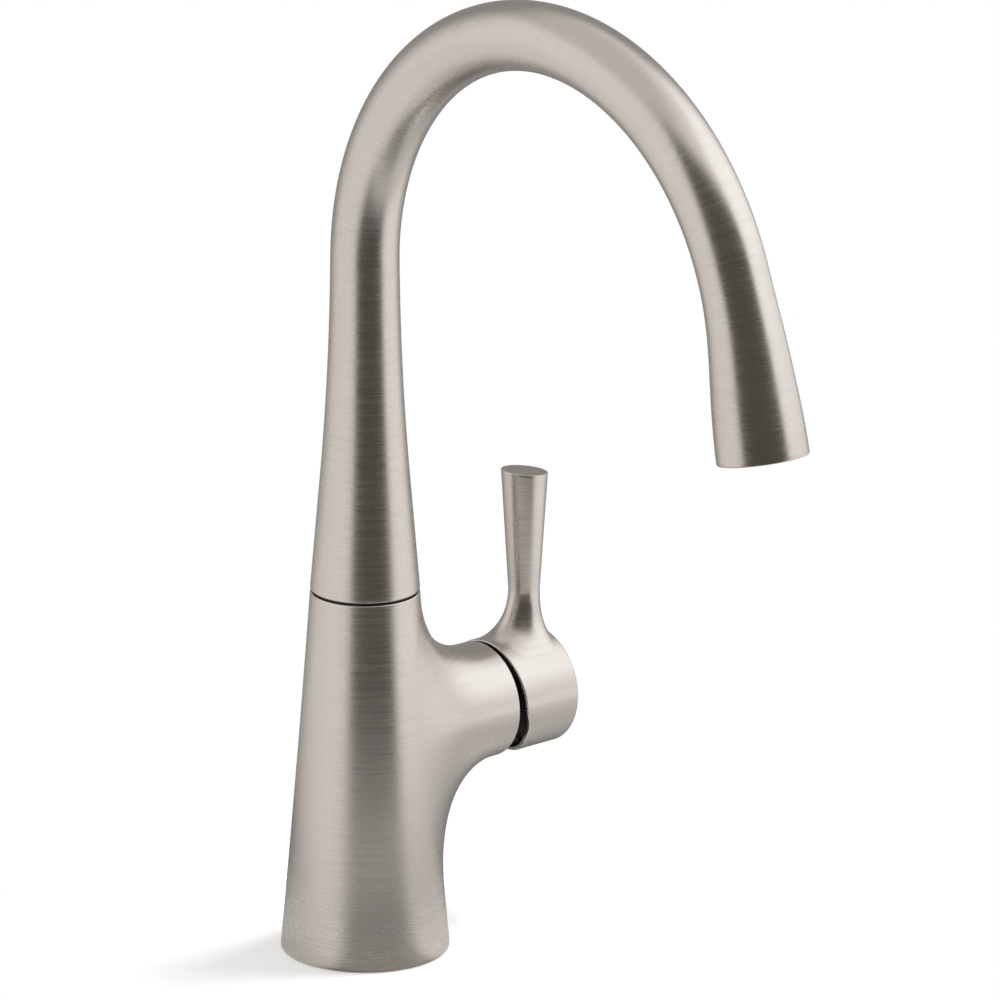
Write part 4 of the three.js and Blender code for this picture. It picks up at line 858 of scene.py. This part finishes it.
def deck_fixing():
    """Threaded shank and its nut."""
    low, high = SHANK_FLANGE_Z
    rows, section = thread(SHANK_R, SHANK_FOOT + SHANK_CHAMFER, low - SHANK_RELIEF, SHANK_PITCH,
                           SHANK_THREAD)
    foot = rounded([(SHANK_BORE_R, 0), (SHANK_BORE_R, SHANK_FOOT),
                    (SHANK_R - SHANK_CHAMFER, SHANK_FOOT), rows[0]], SHANK_EDGE, closed=False)
    flange = rounded([rows[-1], (SHANK_R, low), (SHANK_FLANGE_R, low), (SHANK_FLANGE_R, high),
                      (SHANK_BORE_R, high), (SHANK_BORE_R, 0)], SHANK_FLANGE_EDGE, closed=False)
    detail("mounting_shank", turned([*foot, *rows[1:-1], *flange], section))
    low, high = NUT_Z
    mouth_r = SHANK_HOLE_R + NUT_LEAD_IN
    nut = [(SHANK_HOLE_R, low + NUT_LEAD_IN), (mouth_r, low),
           *chamfer(NUT_FLAT_R, low, low + NUT_CHAMFER),
           *chamfer(NUT_FLAT_R, high, high - NUT_CHAMFER)[::-1],
           (mouth_r, high), (SHANK_HOLE_R, high - NUT_LEAD_IN), (SHANK_HOLE_R, low + NUT_LEAD_IN)]
    detail("mounting_nut", turned(nut, hexagonal(NUT_FLAT_R)), sharp=FACET_ANGLE)


def inlets():
    """Nipples with a barbed tail, a hexagon and a thread."""
    hex_low, hex_high = INLET_HEX_Z
    rows, threads = thread(INLET_THREAD_R, hex_high + INLET_CHAMFER, INLET_TOP - INLET_CHAMFER,
                           INLET_PITCH, INLET_THREAD)
    hexagon = hexagonal(INLET_FLAT_R)
    bore = (INLET_BORE_R, hex_low)
    profile = [bore, (INLET_BORE_R, INLET_FOOT), (INLET_ROOT_R, INLET_FOOT)]
    for i in range(BARBS):
        z = INLET_FOOT + BARB_START + i * BARB_PITCH
        profile += [(INLET_ROOT_R, z), (INLET_TAIL_R, z + BARB_RISE),
                    (INLET_TAIL_R, z + BARB_CREST), (INLET_ROOT_R, z + BARB_FALL)]
    profile += [(INLET_ROOT_R, hex_low), *chamfer(INLET_FLAT_R, hex_low, hex_low + INLET_CHAMFER),
                (corner_of(INLET_FLAT_R), hex_high), (INLET_THREAD_R, hex_high), *rows,
                (INLET_THREAD_R - INLET_CHAMFER, INLET_TOP), (INLET_BORE_R, INLET_TOP), bore]

    def section(r, z, angle):
        return threads(r, z, angle) if z > hex_high else hexagon(r, z, angle)
    for node, side in (("inlet_hot", 1), ("inlet_cold", -1)):
        detail(node, turned(profile, section), Matrix.Translation((0, side * INLET_Y * MM, 0)))


def aerator():
    """Shell, flow straightener and washer, in a frame at the tip that points up the tube."""
    y, z, turn = spout_place(SPOUT_LENGTH)
    place = Matrix.Translation((0, y * MM, z * MM)) @ Matrix.Rotation(turn - math.pi, 4, "X")
    shell = [(SHELL_MOUTH_R, SHELL_Z[0]), (SHELL_R, SHELL_Z[0]), (SHELL_R, SHELL_Z[1]),
             (SHELL_INNER_R, SHELL_Z[1]), (SHELL_INNER_R, SHELL_LIP_Z), (SHELL_MOUTH_R, SHELL_LIP_Z)]
    detail("aerator_shell", turned(rounded(shell, SHELL_EDGE)), place)
    washer = ring_profile(SHELL_MOUTH_R, SHELL_R, *AERATOR_WASHER_Z)
    detail("aerator_washer", turned(rounded(washer, AERATOR_WASHER_EDGE)), place)
    straightener(place)


def straightener(place):
    """A disc with rows of round holes for the jets."""
    node = "aerator_insert"
    low, high = INSERT_Z
    sewn = bmesh.new()

    def loop(x, y, radius, sides):
        points = [sewn.verts.new(((x + radius * math.cos(a)) * MM, (y + radius * math.sin(a)) * MM,
                                  low * MM)) for a in np.linspace(0, 2 * math.pi, sides + 1)[:-1]]
        for here, after in zip(points, points[1:] + points[:1]):
            sewn.edges.new((here, after))

    loop(0, 0, INSERT_R, TURNED_SIDES)
    for row in range(-JET_ROWS, JET_ROWS + 1):
        count = 2 * JET_ROWS + 1 - abs(row)
        for i in range(count):
            loop((i - (count - 1) / 2) * JET_PITCH, row * JET_PITCH * math.sin(math.pi / 3),
                 JET_R, JET_SIDES)
    rims = sewn.edges[:]
    bmesh.ops.triangle_fill(sewn, use_beauty=True, edges=rims)
    lift = Vector((0, 0, (high - low) * MM))
    above = {corner: sewn.verts.new(corner.co + lift) for corner in sewn.verts[:]}
    for face in sewn.faces[:]:
        sewn.faces.new([above[corner] for corner in face.verts])
    for a, b in (edge.verts for edge in rims):
        sewn.faces.new((a, b, above[b], above[a]))
    bmesh.ops.recalc_face_normals(sewn, faces=sewn.faces)
    mesh = bpy.data.meshes.new(node + "_detail")
    sewn.to_mesh(mesh)
    sewn.free()
    mesh.transform(place)
    slot = SLOTS[node]
    dressed(mesh.name, mesh, CARRIERS[node], FINISHES[slot], [node])


def cartridge_nut():
    """Ring with a thread and a hexagon, along the stub's axis."""
    low, step, high = CARTRIDGE_NUT_X
    bore = CARTRIDGE_NUT_BORE_R
    rows, threads = thread(CARTRIDGE_NUT_R, low + CARTRIDGE_NUT_CHAMFER, step - CARTRIDGE_NUT_RELIEF,
                           CARTRIDGE_NUT_PITCH, CARTRIDGE_NUT_THREAD)
    hexagon = hexagonal(CARTRIDGE_NUT_FLAT_R)
    profile = [(bore, step), (bore, low), (CARTRIDGE_NUT_R - CARTRIDGE_NUT_CHAMFER, low), *rows,
               (CARTRIDGE_NUT_R, step), (corner_of(CARTRIDGE_NUT_FLAT_R), step),
               *chamfer(CARTRIDGE_NUT_FLAT_R, high, high - CARTRIDGE_HEX_CHAMFER)[::-1],
               (bore, high), (bore, step)]

    def section(r, z, angle):
        return hexagon(r, z, angle) if z >= step and r < CARTRIDGE_NUT_R else threads(r, z, angle)
    along = Matrix.Translation((0, 0, STUB_Z * MM)) @ Matrix.Rotation(math.pi / 2, 4, "Y")
    detail("cartridge_nut", turned(profile, section), along, sharp=FACET_ANGLE)


def screw_plug():
    """Domed plug under the hub, over the handle's screw."""
    place = Matrix.Translation((PLUG_X * MM, 0, STUB_Z * MM))
    low, high = PLUG_Z
    dome = [(0, low), (PLUG_CROWN_R, low + PLUG_CROWN), (PLUG_R, low + PLUG_SHOULDER),
            (PLUG_R, high), (0, high)]
    detail("screw_plug", turned(rounded(dome, PLUG_EDGE, closed=False)), place)


# ---- Camera, light and floor, in metres ----

STUDIO_CENTRE = (0, -0.08)  # below the middle of the arch
LAMP_AIM_Z = 0.1
AMBIENT = 0.62
FLOOR_HALF = 4.0
FLOOR_TONE, FLOOR_ROUGHNESS = 0.8, 0.9
FLOOR_LIFT = 0.27  # brings the lit floor up to the backdrop's white
FLOOR_FADE = (0.045, 0.13)  # from the object's own shadow to plain white
CARD_GRID, ROOF_GRID, FLOOR_CARD_GRID = (61, 31), (49, 21), (73, 61)
DARK_START, DARK_STOP = (-0.469, -0.182), (0.35, -0.94)  # the dark panel from above
DARK_TONE, BRIGHT_TONE = (0.1, 0.092, 0.08), (1.45, 1.49, 1.53)
BACK_TONE, ROOF_TONE = (0.33, 0.325, 0.32), (0.72, 0.72, 0.72)
SHADE_TONE, GLOW_TONE = (0.05, 0.047, 0.042), (1.2, 1.2, 1.2)
SHADE_LIFT, GLOW_LIFT = 0.0004, 0.0008  # of the floor's own cards above it
FLOOR_RADII = (0.15, 0.22, 0.26, 0.36)  # start and stop of the shades' two changes outwards
FLOOR_CARD_END, FLOOR_CARD_EDGE = 1.6, 0.15
FLOOR_SHADES = (
    # azimuth, and how much of the card shows close to the object, round it and away from it
    (-180, 0.9, 0.65, 0.75),
    (-150, 0.85, 0.65, 0.65),
    (-110, 0.5, 0.28, 0.12),
    (-60, 0.2, 0.0, 0.03),
    (-34, 0.25, 0.12, 0.05),
    (-18, 0.74, 0.25, 1.0),
    (50, 0.74, 0.25, 1.0),
    (66, 0.32, 0.22, 0.03),
    (115, 0.38, 0.22, 0.03),
    (145, 0.8, 0.55, 0.7),
    (180, 0.9, 0.65, 0.75),
)
FLOOR_GLOWS = (  # the same for the light card
    (-180, 0, 0, 0),
    (56, 0, 0, 0),
    (68, 0, 0, 0.75),
    (95, 0, 0, 0.65),
    (118, 0, 0, 0.4),
    (130, 0, 0, 0),
    (180, 0, 0, 0),
)


def camera():
    """The photograph's view, which looks slightly down."""
    data = bpy.data.cameras.new("camera")
    data.lens, data.sensor_width = CAMERA_LENS, SENSOR
    data.clip_end = CAMERA_FAR
    view = new_object("camera", data)
    turn = Matrix.Rotation(math.radians(CAMERA_AZIMUTH + 90), 4, "Z")
    tip = Matrix.Rotation(math.radians(90 - CAMERA_ELEVATION), 4, "X")
    roll = Matrix.Rotation(math.radians(CAMERA_ROLL), 4, "Z")
    view.matrix_world = Matrix.Translation(CAMERA_PLACE) @ turn @ tip @ roll
    bpy.context.scene.camera = view


def seen_directly(tree):
    """1 for rays from the camera and for rays that metal and glass reflect or let through."""
    path = tree.nodes.new("ShaderNodeLightPath")
    total = path.outputs["Is Camera Ray"]
    for kind in ("Is Glossy Ray", "Is Transmission Ray"):
        total = arithmetic(tree, "MAXIMUM", total, path.outputs[kind])
    return total


def world():
    """Even light from all round, with a white backdrop."""
    studio = bpy.data.worlds.new("studio")
    bpy.context.scene.world = studio
    studio.use_nodes = True
    tree = studio.node_tree
    background = tree.nodes["Background"]
    background.inputs["Color"].default_value = (1, 1, 1, 1)
    strength = ranged(tree, seen_directly(tree), AMBIENT, 1, 0, 1)
    tree.links.new(strength, background.inputs["Strength"])


def stage_mesh(name, points, faces, material):
    mesh = bpy.data.meshes.new(name)
    mesh.from_pydata(points, [], faces)
    mesh.materials.append(material)
    thing = new_object(name, mesh)
    return thing


def floor():
    """A white floor that keeps the object's shadow and runs out into the white backdrop."""
    material, tree, shader = nodes_of("floor")
    shader.inputs["Base Color"].default_value = (FLOOR_TONE, FLOOR_TONE, FLOOR_TONE, 1)
    shader.inputs["Roughness"].default_value = FLOOR_ROUGHNESS
    shader.inputs["Specular IOR Level"].default_value = 0
    shader.inputs["Emission Color"].default_value = (1, 1, 1, 1)
    seen = seen_directly(tree)
    lift = arithmetic(tree, "MULTIPLY", seen, FLOOR_LIFT)
    tree.links.new(lift, shader.inputs["Emission Strength"])
    place = tree.nodes.new("ShaderNodeTexCoord").outputs["Object"]
    distance = tree.nodes.new("ShaderNodeVectorMath")
    distance.operation = "LENGTH"
    tree.links.new(place, distance.inputs[0])
    fade = ranged(tree, distance.outputs["Value"], 0, 1, *FLOOR_FADE, smooth=True)
    share = arithmetic(tree, "MULTIPLY", fade, seen)
    white = tree.nodes.new("ShaderNodeEmission")
    two_shaders(tree, share, shader.outputs["BSDF"], white.outputs["Emission"])
    corners = [(x * FLOOR_HALF, y * FLOOR_HALF, 0) for x, y in ((-1, -1), (1, -1), (1, 1), (-1, 1))]
    stage_mesh("floor", corners, [(0, 1, 2, 3)], material)


def card_material(name, tone):
    """A card that shows in reflections, and fades out where its fade value falls."""
    material, tree, shader = nodes_of(name)
    glow = tree.nodes.new("ShaderNodeEmission")
    glow.inputs["Color"].default_value = (*tone, 1)
    clear = tree.nodes.new("ShaderNodeBsdfTransparent")
    two_shaders(tree, attribute(tree, "fade"), clear.outputs["BSDF"], glow.outputs["Emission"])
    tree.nodes.remove(shader)
    return material


def soft(share, low, high):
    """1 inside, falling smoothly to 0 over a width of low at the start and high at the end."""
    def step(x):
        t = np.clip(x, 0, 1)
        return t * t * (3 - 2 * t)
    start = step(share / low) if low else np.ones_like(share)
    end = step((1 - share) / high) if high else np.ones_like(share)
    return start * end


def shares(columns, rows):
    """Two grids, of the share of the way across a card and of the way up it."""
    return np.meshgrid(np.linspace(0, 1, columns), np.linspace(0, 1, rows))


def card(name, azimuths, heights, radius, tone, sides, ends):
    """A curved card on part of a circle round the object. Azimuths are in degrees from the
    camera's side, growing to its right. Sides and ends are the shares over which it fades."""
    u, v = shares(*CARD_GRID)
    angle = np.radians(CAMERA_AZIMUTH + azimuths[0] + (azimuths[1] - azimuths[0]) * u)
    z = heights[0] + (heights[1] - heights[0]) * v
    points = np.stack([STUDIO_CENTRE[0] + radius * np.cos(angle),
                       STUDIO_CENTRE[1] + radius * np.sin(angle), z], -1)
    reflector(name, points, soft(u, *sides) * soft(v, *ends), tone)


def panel(name, start, stop, heights, tone, sides, ends):
    """A flat upright card from start to stop, as seen from above."""
    u, v = shares(*CARD_GRID)
    points = np.stack([start[0] + (stop[0] - start[0]) * u, start[1] + (stop[1] - start[1]) * u,
                       heights[0] + (heights[1] - heights[0]) * v], -1)
    reflector(name, points, soft(u, *sides) * soft(v, *ends), tone)


def roof(name, centre, radius, height, tone, edge):
    """A round card overhead."""
    u, v = shares(*ROOF_GRID)
    angle = 2 * math.pi * u
    points = np.stack([centre[0] + radius * v * np.cos(angle),
                       centre[1] + radius * v * np.sin(angle), np.full_like(u, height)], -1)
    reflector(name, points, soft(v, 0, edge), tone)


def floor_card(name, shades, lift, tone):
    """A round card just over the floor, whose fade follows the azimuth and the distance."""
    azimuths, close, middle, far = np.array(shades, float).T
    u, v = shares(*FLOOR_CARD_GRID)
    azimuth = 360 * u - 180
    radius = FLOOR_CARD_END * v * v
    fade = np.interp(azimuth, azimuths, close)
    for start, stop, values in ((*FLOOR_RADII[:2], middle), (*FLOOR_RADII[2:], far)):
        share = soft((radius - start) / (stop - start), 1, 0)
        fade += (np.interp(azimuth, azimuths, values) - fade) * share
    angle = np.radians(CAMERA_AZIMUTH + azimuth)
    points = np.stack([radius * np.cos(angle), radius * np.sin(angle), np.full_like(u, lift)], -1)
    reflector(name, points, fade * soft(v, 0, FLOOR_CARD_EDGE), tone)


def reflector(name, points, fade, tone):
    """A card that only reflections show. Fade is its strength at each point."""
    rows, columns = points.shape[:2]
    index = np.arange(rows * columns).reshape(rows, columns)
    faces = np.stack([index[:-1, :-1], index[:-1, 1:], index[1:, 1:], index[1:, :-1]], -1)
    thing = stage_mesh(name, points.reshape(-1, 3).tolist(), faces.reshape(-1, 4).tolist(),
                       card_material(name, tone))
    values = thing.data.attributes.new("fade", "FLOAT", "POINT")
    values.data.foreach_set("value", fade.ravel())
    thing.visible_camera = False
    thing.visible_diffuse = False
    thing.visible_shadow = False
    thing.visible_transmission = False


def lamp(name, azimuth, elevation, distance, size, power):
    """A soft round lamp that reflections don't show. Azimuth and elevation are in degrees."""
    data = bpy.data.lights.new(name, "AREA")
    data.shape = "DISK"
    data.size, data.energy = size, power
    thing = new_object(name, data)
    a, e = math.radians(CAMERA_AZIMUTH + azimuth), math.radians(elevation)
    way = Vector((math.cos(a) * math.cos(e), math.sin(a) * math.cos(e), math.sin(e)))
    thing.location = Vector((*STUDIO_CENTRE, LAMP_AIM_Z)) + way * distance
    thing.rotation_mode = "QUATERNION"
    thing.rotation_quaternion = way.to_track_quat("Z", "Y")
    thing.visible_glossy = False


def studio():
    """Soft lamps, and the cards that the metal reflects: dark on the camera's side, bright on the
    right, grey behind the object and overhead, and a dark and a light one over the floor."""
    lamp("key", azimuth=120, elevation=57, distance=1.6, size=0.8, power=24)
    lamp("fill", azimuth=-70, elevation=40, distance=1.6, size=1.2, power=4)
    panel("card_dark", DARK_START, DARK_STOP, heights=(0, 1.0), tone=DARK_TONE,
          sides=(0.02, 0.04), ends=(0, 0.4))
    card("card_bright", azimuths=(59, 147), heights=(0.02, 1.9), radius=0.8, tone=BRIGHT_TONE,
         sides=(0.04, 0.3), ends=(0.3, 0.3))
    card("card_back", azimuths=(138, 256), heights=(0, 1.7), radius=0.9, tone=BACK_TONE,
         sides=(0.15, 0.38), ends=(0, 0.5))
    roof("card_roof", centre=(-0.4, 0.3), radius=0.9, height=1.2, tone=ROOF_TONE, edge=0.3)
    floor_card("card_floor", FLOOR_SHADES, SHADE_LIFT, SHADE_TONE)
    floor_card("card_glow", FLOOR_GLOWS, GLOW_LIFT, GLOW_TONE)


# ---- The scene ----

bpy.context.scene.view_settings.view_transform = "Standard"
camera()
world()
floor()
studio()
casting()
spout()
handle()
washers()
deck_fixing()
inlets()
aerator()
cartridge_nut()
screw_plug()

for name, node in frame["nodes"].items():
    node.data.materials.clear()
    node.data.materials.append(FINISHES[SLOTS[name]])
